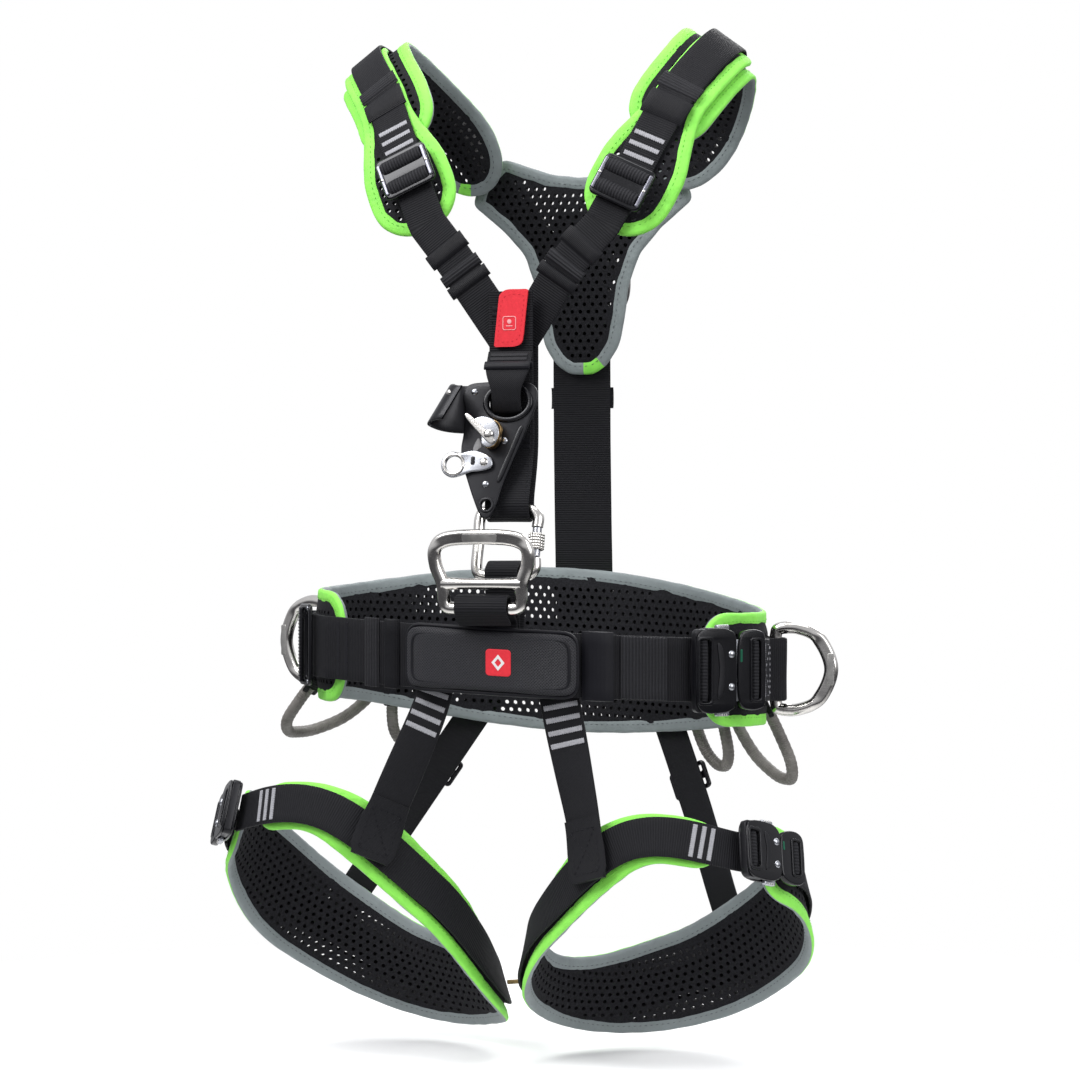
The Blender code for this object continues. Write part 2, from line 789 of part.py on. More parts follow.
def build_clamp_catch(origin, right, up, facing):
    """Safety catch: an arm with a ring-shaped finger pull."""
    pivot = origin + right * -14.0 + up * -42.0 + facing * 5.0
    ring_centre = (-17.0, -8.0)
    outline = [(5, 3), (0, 6), (-8, 2)]
    for i in range(7):
        turn = math.radians(70 + 230 * i / 6)
        outline.append((ring_centre[0] + 9 * math.cos(turn), ring_centre[1] + 9 * math.sin(turn)))
    outline += [(-8, -9), (0, -6), (6, -3)]
    hole = [
        (ring_centre[0] + 5.2 * math.cos(t), ring_centre[1] + 5.2 * math.sin(t))
        for t in arc_turns(8)
    ]
    look = steel_material()
    plate("chest_clamp_catch", outline, pivot, right, up, 2.6, look, pivot=pivot, holes=[hole])


def build_clamp_webbing():
    """Short webbing that carries the clamp's top from the breastbone."""
    x, y, z = CLAMP_TOP
    points = [
        Vector((x, -96.6, 214.0)),
        Vector((x, y - 7.0, z + 22.0)),
        Vector((x, y - 7.5, z + 10.0)),
        Vector((x, y - 4.5, z + 3.2)),
        Vector((x, y - 0.5, z + 2.0)),
        Vector((x, y + 2.2, z + 4.0)),
    ]
    outwards = [Vector((0, -1, 0.1))] * 3 + [Vector((0, -0.6, -1)), Vector((0, 0, -1)), Vector((0, 0.7, -0.7))]
    stations = path_stations(points, outwards)
    ribbon("chest_clamp_webbing", stations, 25.0, webbing_material(), 2.0)


def build_marker_tab():
    """Red tab that marks the attachment point at the top of the sleeve."""
    x = CONNECTOR_X
    centre = Vector((x - 3.0, -93.2, 239.0))
    up = Vector((0, 0, 1))
    plate("marker_tab", rounded_box(13.5, 19.5, 4.0), centre, (1, 0, 0), up, 1.4, red_material())


# ---------------------------------------------------------------- shoulders and back


def build_yoke():
    """Back pad: a rounded foot, a waist and two arms with a U between them."""
    half = [(9, 211), (19, 218), (28, 232), (32, 252), (35, 276), (44, 302), (62, 322), (85, 341)]
    half += [(80, 356), (62, 374), (44, 368), (24, 361)]
    outline = half + [(0, 358)] + [(-a, b) for a, b in reversed(half)]
    base = Vector((2, 112.5, 0))
    plate("back_yoke", outline, base, (1, 0, 0), (0, 0, 1), 6.5, foam_material())


def build_back_strap():
    """Webbing from the yoke, over the dorsal ring's bar, down the back to the belt."""
    x, y, z = DORSAL_PIVOT
    guide = (
        ((x, 115.8, z + 40), (0, 1, 0)),
        ((x, 116.4, z + 16), (0, 1, 0.1)),
        ((x, y + 3.6, z + 7.5), (0, 0.8, 0.6)),
        ((x, y + 6.4, z), (0, 1, 0)),
        ((x, y + 3.6, z - 7.5), (0, 0.8, -0.6)),
        ((x, 116.4, z - 16), (0, 1, -0.1)),
        ((x, 115.8, z - 60), (0, 1, 0)),
        ((x, 117.0, 150), (0, 1, 0)),
        ((x, 122.0, 60), (0, 1, 0)),
        ((x, 125.6, 20), (0, 1, 0)),
        ((x, 125.6, -18), (0, 1, 0)),
    )
    ribbon("back_strap", guided_path(guide, 3), WAIST_WEB, webbing_material())


def build_dorsal_ring():
    """Ring on the back, its bar held under the back strap."""
    pivot = Vector(DORSAL_PIVOT)
    half = ((14, 0), (27, 0), (32, -6), (30, -24), (18, -40))
    points = [(0, 0), *half, (0, -44)]
    points += [(-a, b) for a, b in reversed(half)]
    stations = plane_loop(points, pivot, (1, 0, 0), (0, -0.14, 1), 3)
    shape = sweep(stations, [round_profile(4.2)] * len(stations), closed=True)
    ring = solid("dorsal_ring", *shape, steel_material(), pivot)
    base = pivot + Vector((0, 9.6, -43.0))
    face = plate(
        "flat_dorsal_ring",
        rounded_box(9, 3.4, 1.5, 2),
        base,
        (-1, 0, 0),
        (0, 0, 1),
        1.5,
        steel_material(),
    )
    join_with(ring, face)


def shoulder_line(side):
    """Stations of the wing's middle surface and its continuation to the front pad's foot."""
    return guided_path(SHOULDER_LINE[side], LINE_SPANS)


def raised(stations, lift):
    """Stations moved outward along their own normals."""
    return [(centre + normal * lift, side, normal) for centre, side, normal in stations]


def build_wing(side):
    """Padded wing from the yoke over the shoulder to the front."""
    stations = shoulder_line(side)[: 4 * LINE_SPANS + 1]
    limits = rounded_limits(lambda s: -WING_HALF_WIDTH, lambda s: WING_HALF_WIDTH, 0.2)
    tapered(f"shoulder_wing_{side}", stations, limits, WING_THICK, foam_material())


def build_shoulder_pad(side):
    """Pear-shaped pad under the webbing: a narrow tongue that widens to a round foot."""
    stations = raised(shoulder_line(side)[2 * LINE_SPANS :], SHOULDER_PAD_LIFT)
    outer = SIDE_SIGN[side]

    def half_width(share):
        return 18.5 + 13.0 * smooth_step(share, 0.3, 0.7)

    def limits(share):
        foot = max(0.0, (share - 0.8) / 0.2)
        half = half_width(share) * math.sqrt(1.0 - 0.93 * foot**2)
        return -half - PEAR_SHIFT * outer, half - PEAR_SHIFT * outer

    tapered(f"shoulder_pad_{side}", stations, limits, 5.0, foam_material())


def build_shoulder_strap(side):
    """Webbing from the back strap, over the wing, to the front adjuster."""
    sign = SIDE_SIGN[side]
    over = shoulder_line(side)[LINE_SPANS - 1 : BUCKLE_STATION[side] + 2]
    over = raised(over, SHOULDER_WEB_LIFT)
    guide = [
        ((sign * 37, 116.4, 296), (0, 1, 0)),
        ((sign * 56, 116.8, 324), (0, 1, 0)),
        ((sign * 80, 117.2, 362), (0, 1, 0.1)),
        (over[0][0], over[0][2]),
    ]
    stations = guided_path(guide, 4)[:-1] + over
    ribbon(f"shoulder_strap_{side}", stations, BODY_WEB, webbing_material())


def build_shoulder_buckle(side):
    """Adjuster frame over the foot of the shoulder webbing."""
    centre, across, normal = shoulder_line(side)[BUCKLE_STATION[side]]
    up = normal.cross(across).normalized()
    if up.z < 0:
        across, up = -across, -up
    window = rounded_box(15.0, 3.6, 1.4, 2)
    windows = [moved(window, 0, -8.0), moved(window, 0, 8.0)]
    plate(
        f"shoulder_buckle_{side}",
        rounded_box(20.0, 16.0, 4.5),
        centre + normal * (SHOULDER_WEB_LIFT + 6.4),
        across,
        up,
        3.6,
        black_alloy_material(),
        holes=windows,
    )


def build_chest_strap(side):
    """Webbing from the shoulder adjuster to the breastbone, over the front pad's foot."""
    start = raised(shoulder_line(side)[BUCKLE_STATION[side] - 1 :], SHOULDER_WEB_LIFT + 3.3)
    guide = [(start[-1][0], start[-1][2])]
    guide += [(point, (0, -1, 0.1)) for point in CHEST_ENDS[side]]
    stations = start[:-1] + guided_path(guide, 5)
    ribbon(f"chest_strap_{side}", stations, BODY_WEB, webbing_material())


# ---------------------------------------------------------------- legs


def leg_height(side, angle):
    """Height of a leg loop by a periodic spline through its eight heights."""
    heights = LEG_HEIGHTS[side]
    place = (angle / 45.0) % 8
    index = int(place)
    t = place - index
    a, b, c, d = (heights[(index + k) % 8] for k in (-1, 0, 1, 2))
    cubic = (3 * b - a - 3 * c + d) * t**3
    return 0.5 * (2 * b + (c - a) * t + (2 * a - 5 * b + 4 * c - d) * t**2 + cubic)


def leg_point(side, angle, out=0.0):
    """A point round the thigh: degrees from the front towards the outer side."""
    turn = math.radians(angle)
    x = LEG_CENTRE_X[side] + SIDE_SIGN[side] * (LEG_HALF_X + out) * math.sin(turn)
    y = LEG_CENTRE_Y - (LEG_HALF_Y + out) * math.cos(turn)
    return Vector((x, y, leg_height(side, angle)))


def leg_outward(side, angle):
    """Direction away from the thigh; it rises because the loop opens downwards."""
    turn = math.radians(angle)
    flat = Vector((SIDE_SIGN[side] * math.sin(turn), -math.cos(turn), LEG_CONE))
    return flat.normalized()


def leg_station(side, angle, lift=0.0):
    """Centre, upward side vector and outward normal on the leg loop, raised off the pad."""
    centre = leg_point(side, angle)
    along = (leg_point(side, angle + 1.0) - leg_point(side, angle - 1.0)).normalized()
    outward = leg_outward(side, angle)
    across = along.cross(outward).normalized()
    if across.z < 0:
        across = -across
    normal = outward - along * outward.dot(along)
    normal.normalize()
    return centre + normal * lift, across, normal


def leg_stations(side, first, last, lift=0.0):
    """Stations round the thigh at whole steps, from first to last, in step counts."""
    direction = 1 if last > first else -1
    counts = range(first, last + direction, direction)
    return [leg_station(side, count * LEG_STEP, lift) for count in counts]


def build_leg_pad(side):
    """Thigh pad: a tongue under the front strap, a narrow inner part and a wide back."""

    def half_width(share):
        wide = 16.0 + 4.0 * smooth_step(share, 0.06, 0.16)
        wide += 16.0 * smooth_step(share, 0.36, 0.62)
        return wide - 10.0 * smooth_step(share, 0.8, 1.0)

    limits = rounded_limits(lambda s: -half_width(s), half_width, 0.04, 3.0)
    tapered(f"leg_pad_{side}", leg_stations(side, 5, -43), limits, 6.5, foam_material())


def build_leg_strap(side):
    """Webbing on the outside of the pad, from the buckle's front over the front of the thigh
    and round the back to the buckle's other half."""
    stations = leg_stations(side, 7, -41, LEG_WEB_LIFT)
    ribbon(f"leg_strap_{side}", stations, BODY_WEB, webbing_material())


def build_leg_buckle(side):
    """Quick buckle on the outer side of the thigh."""
    centre, up, normal = leg_station(side, LEG_BUCKLE_ANGLE, LEG_TOP_LIFT)
    ahead = leg_station(side, LEG_BUCKLE_ANGLE + 18.0, LEG_TOP_LIFT)[0]
    along = (ahead - centre).normalized()
    up = (up - along * up.dot(along)).normalized()
    if along.cross(up).dot(normal) < 0:
        up = -up
    build_quick_buckle(f"leg_buckle_{side}", centre, along, up, 21.0)


def build_leg_riser(side):
    """Webbing from behind the front strap down to the front of the leg loop."""
    sign = SIDE_SIGN[side]
    centre, _, normal = leg_station(side, RISER_FOOT_ANGLE[side], LEG_TOP_LIFT + 0.8)
    below_belt = belt_point(sign * 16.5, 4.5, -30.0)
    down = (centre - below_belt).normalized()
    down = (down - normal * down.dot(normal)).normalized()
    guide = [
        (belt_point(sign * 14.0, 4.5, 12.0), belt_frame(sign * 14.0, 0)[3]),
        (below_belt, belt_frame(sign * 16.5, 0)[3]),
        (centre - down * 22.0 + normal * 1.0, normal),
        (centre + down * 14.0, normal),
    ]
    ribbon(f"leg_riser_{side}", guided_path(guide, 5), BODY_WEB, webbing_material())


def build_rear_leg_strap(side):
    """Webbing from the back of the belt to the outside of the leg loop, with an adjuster."""
    facing = belt_frame(REAR_STRAP_TOP[side], 0)[3]
    top = belt_point(REAR_STRAP_TOP[side], 14.6, -28.0)
    centre, up, normal = leg_station(side, REAR_STRAP_FOOT[side], LEG_TOP_LIFT + 1.0)
    foot = centre + up * 16.0 + normal * 1.0
    mid = (top + foot) / 2 + facing * 3.0
    guide = [(top, facing), (mid, facing), (foot, normal), (centre - up * 6.0, normal)]
    stations = guided_path(guide, 4)
    ribbon(f"rear_leg_strap_{side}", stations, REAR_WEB, webbing_material())
    centre, across, normal = stations[3]
    up = across.cross(normal).normalized()
    if up.z < 0:
        across, up = -across, -up
    if across.cross(up).dot(normal) < 0:
        across = -across
    window = rounded_box(12.8, 2.4, 1.0, 2)
    plate(
        f"rear_leg_adjuster_{side}",
        rounded_box(17.0, 11.0, 3.5, 2),
        centre + normal * 2.2,
        across,
        up,
        3.4,
        black_alloy_material(),
        holes=[moved(window, 0, -5.2), moved(window, 0, 5.2)],
    )


def build_link_cord():
    """Elastic cord between the two leg loops."""
    left = leg_station("left", -98.0, 9.5)[0]
    right = leg_station("right", -98.0, 9.5)[0]
    centres = spline([left, (left + right) / 2 + Vector((0, 0, -1.0)), right], 3)
    stations = path_stations(centres, [Vector((0, -1, 0))] * len(centres))
    shape = sweep(stations, [round_profile(1.6, 6)] * len(stations))
    solid("leg_link_cord", *shape, tube_material())


# ---------------------------------------------------------------- assembly


def build_harness():
    for old in list(bpy.data.objects):
        bpy.data.objects.remove(old)
    build_belt_pad()
    build_waist_webbing()
    build_waist_front_pad()
    build_waist_adjuster()
    centre, along, up, _ = belt_frame(WAIST_BUCKLE_ANGLE, BELT_WEB_OUT + 2.6)
    build_quick_buckle("waist_buckle", centre, along, up, 30.0)
    build_gear_loop("gear_loop_front_left", -84.0, -121.5, -33.0, -70.0, 24.0, 0.4)
    build_gear_loop("gear_loop_front_right", 114.0, 135.0, -33.0, -84.0, 22.0, 0.36)
    build_gear_loop("gear_loop_rear_left", -127.5, -141.0, -44.0, -78.0, 10.0, 0.5)
    build_gear_loop("gear_loop_rear_right", 140.0, 149.6, -44.0, -84.0, 10.0, 0.5)
    build_ventral_ring()
    build_ventral_webbing()
    build_connector()
    build_connector_tab()
    build_sternal_sleeve()
    build_chest_clamp()
    build_clamp_webbing()
    build_marker_tab()
    build_yoke()
    build_back_strap()
    build_dorsal_ring()
    for side in ("left", "right"):
        build_side_ring(side)
        build_wing(side)
        build_shoulder_pad(side)
        build_shoulder_strap(side)
        build_shoulder_buckle(side)
        build_chest_strap(side)
        build_leg_pad(side)
        build_leg_strap(side)
        build_leg_buckle(side)
        build_leg_riser(side)
        build_rear_leg_strap(side)
    build_link_cord()


build_harness()
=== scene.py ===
"""Looks of the tree climbing saddle: woven webbing, perforated pads with two-tone bindings,
forged rings and buckles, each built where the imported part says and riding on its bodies.

Helpers take millimetres from the centre of the waist loop, at mid-height of the waist webbing,
and write metres in the part's frame, which starts at the back rest.
"""

import json
import math

import bmesh
import bpy
import numpy as np
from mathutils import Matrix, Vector, noise
from mathutils.geometry import delaunay_2d_cdt


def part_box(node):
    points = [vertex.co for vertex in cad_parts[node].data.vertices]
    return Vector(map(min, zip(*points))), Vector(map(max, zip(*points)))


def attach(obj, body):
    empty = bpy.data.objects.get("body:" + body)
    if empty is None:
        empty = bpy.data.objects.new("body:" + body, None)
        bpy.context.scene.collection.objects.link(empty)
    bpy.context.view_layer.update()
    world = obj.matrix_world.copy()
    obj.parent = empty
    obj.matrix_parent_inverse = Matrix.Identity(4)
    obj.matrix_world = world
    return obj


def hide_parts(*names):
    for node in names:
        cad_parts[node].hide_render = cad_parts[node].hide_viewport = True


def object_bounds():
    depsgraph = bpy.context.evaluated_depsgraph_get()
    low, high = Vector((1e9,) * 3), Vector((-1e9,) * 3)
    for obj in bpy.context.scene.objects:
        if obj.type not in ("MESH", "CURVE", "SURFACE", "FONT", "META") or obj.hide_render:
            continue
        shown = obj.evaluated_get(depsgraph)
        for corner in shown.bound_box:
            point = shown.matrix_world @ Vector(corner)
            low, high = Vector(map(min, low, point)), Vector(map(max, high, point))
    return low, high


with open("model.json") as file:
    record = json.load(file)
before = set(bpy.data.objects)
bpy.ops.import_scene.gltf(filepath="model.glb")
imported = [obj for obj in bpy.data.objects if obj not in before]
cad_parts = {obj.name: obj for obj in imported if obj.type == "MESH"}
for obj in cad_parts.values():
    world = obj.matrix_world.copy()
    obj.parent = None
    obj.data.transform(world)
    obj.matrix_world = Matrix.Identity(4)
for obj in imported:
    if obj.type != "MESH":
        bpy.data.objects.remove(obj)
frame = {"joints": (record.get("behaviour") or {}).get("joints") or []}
CAD_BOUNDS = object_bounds()
MM = 0.001
BACK_REST = Vector((2.0, 106.0, 290.0))  # the frame's origin, from the waist loop's centre
SIDE_SIGN = {"left": -1.0, "right": 1.0}


def box_mm(node):
    """Low and high corner of a CAD node in millimetres."""
    low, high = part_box(node)
    return Vector(low) / MM + BACK_REST, Vector(high) / MM + BACK_REST


# ---------------------------------------------------------------- the part's driving sizes

PAD_THICK = 8.0
WEB_THICK = 2.4
WAIST_WEB = 45.0
BODY_WEB = 28.0
REAR_WEB = 25.0
BELT_WEB_OUT = 10.2
belt_low, belt_high = box_mm("belt_pad")
WAIST_HALF_X = round((belt_high.x - belt_low.x) / 2 - PAD_THICK, 1)
WAIST_HALF_Y = round(belt_high.y - PAD_THICK, 1)
WAIST_ROLL = 0.05

RING_BAR_ANGLE = 97.0
RING_BAR_OUT = 14.0
RING_TUBE = 4.4
RING_HALF_HEIGHT = 29.0
RING_REACH = 40.0
RING_SWUNG_BACK = {"left": 26.0, "right": 3.0}
WAIST_BUCKLE_ANGLE = 56.0
WAIST_ADJUSTER_ANGLE = -66.0

LEG_HALF_X = 94.0
LEG_HALF_Y = 89.0
LEG_CENTRE_Y = -30.0
LEG_CENTRE_X = {"left": -122.0, "right": 101.0}
LEG_HEIGHTS = {
    "left": (-108, -113, -140, -196, -238, -247, -234, -166),
    "right": (-124, -133, -154, -199, -238, -249, -230, -180),
}
LEG_CONE = 0.32
LEG_STEP = 7.0
LEG_BUCKLE_ANGLE = 50.0
RISER_FOOT_ANGLE = {"left": -20.0, "right": -16.0}
REAR_STRAP_TOP = {"left": -157.0, "right": 160.0}
REAR_STRAP_FOOT = {"left": 146.0, "right": 158.0}
LEG_WEB_LIFT = 6.8
LEG_TOP_LIFT = 10.6

SHOULDER_LINE = {
    "left": (
        ((-68, 99, 352), (0, 1, 0.15)),
        ((-104, 80, 401), (-0.25, 0.75, 0.6)),
        ((-131, 20, 434), (-0.6, -0.05, 0.8)),
        ((-104, -28, 400), (-0.3, -0.85, 0.45)),
        ((-88, -48, 368), (-0.1, -0.98, 0.2)),
        ((-74, -58, 338), (-0.05, -0.98, 0.15)),
        ((-60, -65, 306), (0, -0.98, 0.12)),
    ),
    "right": (
        ((72, 99, 352), (0, 1, 0.15)),
        ((107, 80, 402), (0.25, 0.75, 0.6)),
        ((130, 20, 436), (0.6, -0.05, 0.8)),
        ((113, -28, 402), (0.3, -0.85, 0.45)),
        ((98, -48, 368), (0.1, -0.98, 0.2)),
        ((84, -58, 336), (0.05, -0.98, 0.15)),
        ((68, -65, 303), (0, -0.98, 0.12)),
    ),
}
LINE_SPANS = 6
FINER = 4  # stations per CAD station
WING_THICK = 7.0
WING_HALF_WIDTH = 30.0
SHOULDER_PAD_LIFT = 7.4
SHOULDER_WEB_LIFT = 12.2
PEAR_SHIFT = 4.0
BUCKLE_STATION = {"left": 29, "right": 31}
CHEST_ENDS = {
    "left": ((-38, -84.5, 281), (-11, -86.2, 243)),
    "right": ((44, -84.0, 278), (20, -81.0, 243)),
}

joint_pivots = {
    joint["name"]: Vector(joint["pos_m"]) / MM + BACK_REST
    for joint in frame["joints"]
    if "pos_m" in joint
}
CLAMP_TOP = joint_pivots["chest_clamp_swing"]
CLAMP_LEAN = 12.0  # degrees, its top towards the chest
CLAMP_PLATE = 4.0
CLAMP_CAM_PIVOT = (-9.0, -24.0, 6.3)  # right, up and out from the clamp's top eye
CLAMP_CATCH_PIVOT = (-14.0, -42.0, 5.0)
CLAMP_LOWER_EYE = (-11.5, -72)
CONNECTOR_TOP = joint_pivots["connector_swing"]
CONNECTOR_FOOT = CONNECTOR_TOP + Vector((0, -12, -48))
CONNECTOR_HALF_WIDTH = 21.0
CONNECTOR_TUBE = 4.0
VENTRAL_PIVOT = joint_pivots["ventral_ring_swing"]
VENTRAL_TUBE = 4.6
VENTRAL_HEIGHT = 48.0
VENTRAL_WINDOW = 17.0
DORSAL_PIVOT = joint_pivots["dorsal_ring_swing"]
DORSAL_TUBE = 4.2

GEAR_LOOP_CURVE = (
    (0.0, 0.0, 0.0),
    (0.04, 0.3, 0.35),
    (0.16, 0.7, 0.8),
    (0.34, 0.95, 1.0),
    (0.5, 1.0, 1.0),
    (0.66, 0.95, 0.85),
    (0.84, 0.7, 0.5),
    (0.96, 0.3, 0.15),
    (1.0, 0.0, 0.0),
)
GEAR_LOOPS = {
    "gear_loop_front_left": (-84.0, -121.5, -33.0, -70.0, 24.0, 0.4),
    "gear_loop_front_right": (114.0, 135.0, -33.0, -84.0, 22.0, 0.36),
    "gear_loop_rear_left": (-127.5, -141.0, -44.0, -78.0, 10.0, 0.5),
    "gear_loop_rear_right": (139.0, 148.6, -44.0, -80.0, 10.0, 0.38),
}

# Looks
HOLE_PITCH = 6.4
HOLE_RADIUS = 1.6
HOLE_SIDES = 8
BINDING_WIDTH = 7.8
HARNESS = "harness"


# ---------------------------------------------------------------- materials


CLOTH = {"Specular_IOR_Level": 0.16}


class Shader:
    """A Principled material built by chaining nodes."""

    def __init__(self, name):
        self.material = bpy.data.materials.new(name)
        self.material.use_nodes = True
        self.tree = self.material.node_tree
        self.main = self.tree.nodes["Principled BSDF"]
        self.material.diffuse_color = (0.2, 0.2, 0.2, 1)

    def node(self, kind, **settings):
        made = self.tree.nodes.new(kind)
        for key, value in settings.items():
            setattr(made, key, value)
        return made

    def link(self, output, socket):
        self.tree.links.new(output, socket)

    def math(self, operation, first, second=None):
        made = self.node("ShaderNodeMath", operation=operation)
        for index, value in enumerate((first, second)):
            if value is None:
                continue
            if isinstance(value, (int, float)):
                made.inputs[index].default_value = value
            else:
                self.link(value, made.inputs[index])
        return made.outputs[0]

    def coordinates(self):
        """The across and along distances in millimetres, from the UV map."""
        uv = self.node("ShaderNodeUVMap", uv_map="Weave")
        split = self.node("ShaderNodeSeparateXYZ")
        self.link(uv.outputs[0], split.inputs[0])
        across = self.math("MULTIPLY", split.outputs[0], 1000.0)
        along = self.math("MULTIPLY", split.outputs[1], 1000.0)
        return across, along

    def ridges(self, distance, pitch):
        """0 to 1 ridges at a pitch along a distance."""
        turned = self.math("MULTIPLY", distance, 2 * math.pi / pitch)
        wave = self.math("SINE", turned)
        half = self.math("MULTIPLY", wave, 0.5)
        return self.math("ADD", half, 0.5)

    def noise(self, scale, detail=3.0, roughness=0.6, stretch=None):
        place = self.node("ShaderNodeTexCoord")
        made = self.node("ShaderNodeTexNoise")
        made.inputs["Scale"].default_value = scale
        made.inputs["Detail"].default_value = detail
        made.inputs["Roughness"].default_value = roughness
        source = place.outputs["Object"]
        if stretch:
            mapping = self.node("ShaderNodeMapping")
            mapping.inputs["Scale"].default_value = stretch
            self.link(source, mapping.inputs[0])
            source = mapping.outputs[0]
        self.link(source, made.inputs["Vector"])
        return made.outputs[0]

    def ramp(self, source, stops):
        made = self.node("ShaderNodeValToRGB")
        elements = made.color_ramp.elements
        while len(elements) < len(stops):
            elements.new(0.5)
        for element, (position, colour) in zip(elements, stops):
            element.position = position
            element.color = (*colour, 1.0)
        self.link(source, made.inputs[0])
        return made.outputs[0]

    def bump(self, height, strength, distance, under=None):
        made = self.node("ShaderNodeBump")
        made.inputs["Strength"].default_value = strength
        made.inputs["Distance"].default_value = distance
        self.link(height, made.inputs["Height"])
        if under is not None:
            self.link(under, made.inputs["Normal"])
        return made.outputs[0]

    def range(self, source, low, high):
        made = self.node("ShaderNodeMapRange")
        made.inputs["To Min"].default_value = low
        made.inputs["To Max"].default_value = high
        self.link(source, made.inputs["Value"])
        return made.outputs[0]

    def finish(self, colour=None, roughness=None, normal=None, **values):
        for socket, value in (
            ("Base Color", colour),
            ("Roughness", roughness),
            ("Normal", normal),
        ):
            if value is None:
                continue
            if isinstance(value, tuple):
                self.main.inputs[socket].default_value = (*value, 1.0)
            elif isinstance(value, (int, float)):
                self.main.inputs[socket].default_value = value
            else:
                self.link(value, self.main.inputs[socket])
        for key, value in values.items():
            self.main.inputs[key.replace("_", " ")].default_value = value
        return self.material


def woven(name, dark, light, rib=1.5, thread=0.75, bump=0.5, rough=0.62, twill=0.0):
    """Woven webbing: ribs across the length, threads along it, and a slight wear."""
    shade = Shader(name)
    across, along = shade.coordinates()
    slanted = shade.math("ADD", along, shade.math("MULTIPLY", across, twill))
    ribs = shade.ridges(slanted, rib)
    threads = shade.ridges(across, thread)
    height = shade.math("ADD", ribs, shade.math("MULTIPLY", threads, 0.45))
    height = shade.math("MULTIPLY", height, 0.69)
    patches = shade.noise(38.0, 4.0)
    fuzz = shade.noise(900.0, 2.0)
    tone = shade.math("MULTIPLY", height, shade.range(patches, 0.35, 1.1))
    tone = shade.math("MULTIPLY", tone, shade.range(fuzz, 0.6, 1.2))
    colour = shade.ramp(tone, ((0.0, dark), (1.0, light)))
    roughness = shade.range(patches, rough - 0.1, rough + 0.14)
    normal = shade.bump(height, bump, 0.0005)
    return shade.finish(
        colour, roughness, normal, Sheen_Weight=0.02, Sheen_Roughness=0.4, **CLOTH
    )


def binding_cloth(name, colour, dirt_and_crease_shade):
    """Folded grosgrain tape: fine ribs across, soft wrinkles, slight dirt in patches and painted shade in
    the wrinkles' hollows.
    """
    shade = Shader(name)
    along = shade.coordinates()[1]
    ribs = shade.ridges(along, 0.9)
    wrinkles = shade.noise(160.0, 3.0, 0.55)
    patches = shade.noise(30.0, 3.0)
    # The colour darkens where the wrinkles dip, which is painted shade in their hollows; the random patches
    # are dirt.
    tone = shade.math("MULTIPLY", shade.range(patches, 0.55, 1.0), shade.range(wrinkles, 0.7, 1.1))
    colour = shade.ramp(tone, ((0.3, dirt_and_crease_shade), (0.85, colour)))
    normal = shade.bump(ribs, 0.22, 0.0003)
    normal = shade.bump(wrinkles, 0.55, 0.0016, normal)
    return shade.finish(colour, shade.range(wrinkles, 0.55, 0.8), normal, Sheen_Weight=0.05)


def foam_cloth():
    """Black spacer fabric over foam."""
    shade = Shader("foam_fabric")
    place = shade.node("ShaderNodeTexCoord")
    cells = shade.node("ShaderNodeTexVoronoi")
    cells.inputs["Scale"].default_value = 700.0
    shade.link(place.outputs["Object"], cells.inputs["Vector"])
    patches = shade.noise(45.0, 4.0)
    tone = shade.math("MULTIPLY", cells.outputs[0], shade.range(patches, 0.5, 1.3))
    colour = shade.ramp(tone, ((0.0, (0.0022, 0.0022, 0.0030)), (0.9, (0.0120, 0.0120, 0.0150))))
    normal = shade.bump(cells.outputs[0], 0.35, 0.0005)
    return shade.finish(colour, shade.range(patches, 0.68, 0.9), normal, Sheen_Weight=0.02, **CLOTH)


def mesh_cloth():
    """Padded cover: a net of small cells over black cloth."""
    shade = Shader("cover_net")
    across, along = shade.coordinates()
    first = shade.ridges(shade.math("ADD", along, across), 2.1)
    second = shade.ridges(shade.math("SUBTRACT", along, across), 2.1)
    net = shade.math("MAXIMUM", first, second)
    colour = shade.ramp(net, ((0.55, (0.002, 0.002, 0.003)), (1.0, (0.020, 0.020, 0.026))))
    normal = shade.bump(net, 0.6, 0.0006)
    return shade.finish(colour, 0.5, normal, Sheen_Weight=0.02, Specular_IOR_Level=0.3)


def plain_cloth(name, colour, rough=0.7, wear=0.35, scale=260.0):
    """Cloth or thread of one colour with fibre noise."""
    shade = Shader(name)
    fibres = shade.noise(scale, 4.0, 0.7)
    dark = tuple(c * (1 - wear) for c in colour)
    shades = shade.ramp(fibres, ((0.25, dark), (0.75, colour)))
    normal = shade.bump(fibres, 0.4, 0.0004)
    return shade.finish(shades, shade.range(fibres, rough - 0.1, rough + 0.12), normal, **CLOTH)


def metal(name, colour, low, high, scratches=0.12, metallic=1.0, dirt=0.25):
    """Metal with uneven polish and fine scratches."""
    shade = Shader(name)
    polish = shade.noise(60.0, 4.0)
    lines = shade.noise(240.0, 2.0, 0.5, (1.0, 1.0, 14.0))
    dull = tuple(c * (1 - dirt) for c in colour)
    shades = shade.ramp(polish, ((0.3, dull), (0.6, colour)))
    normal = shade.bump(lines, scratches, 0.0002)
    return shade.finish(shades, shade.range(polish, low, high), normal, Metallic=metallic)


def tube_plastic():
    """Grey-brown corrugated tube."""
    shade = Shader("loop_tube")
    along = shade.coordinates()[1]
    grime = shade.noise(70.0, 4.0)
    colour = shade.ramp(grime, ((0.3, (0.085, 0.078, 0.07)), (0.7, (0.17, 0.16, 0.148))))
    rings = shade.ridges(along, 1.6)
    normal = shade.bump(rings, 0.5, 0.0004)
    return shade.finish(colour, shade.range(grime, 0.45, 0.65), normal)


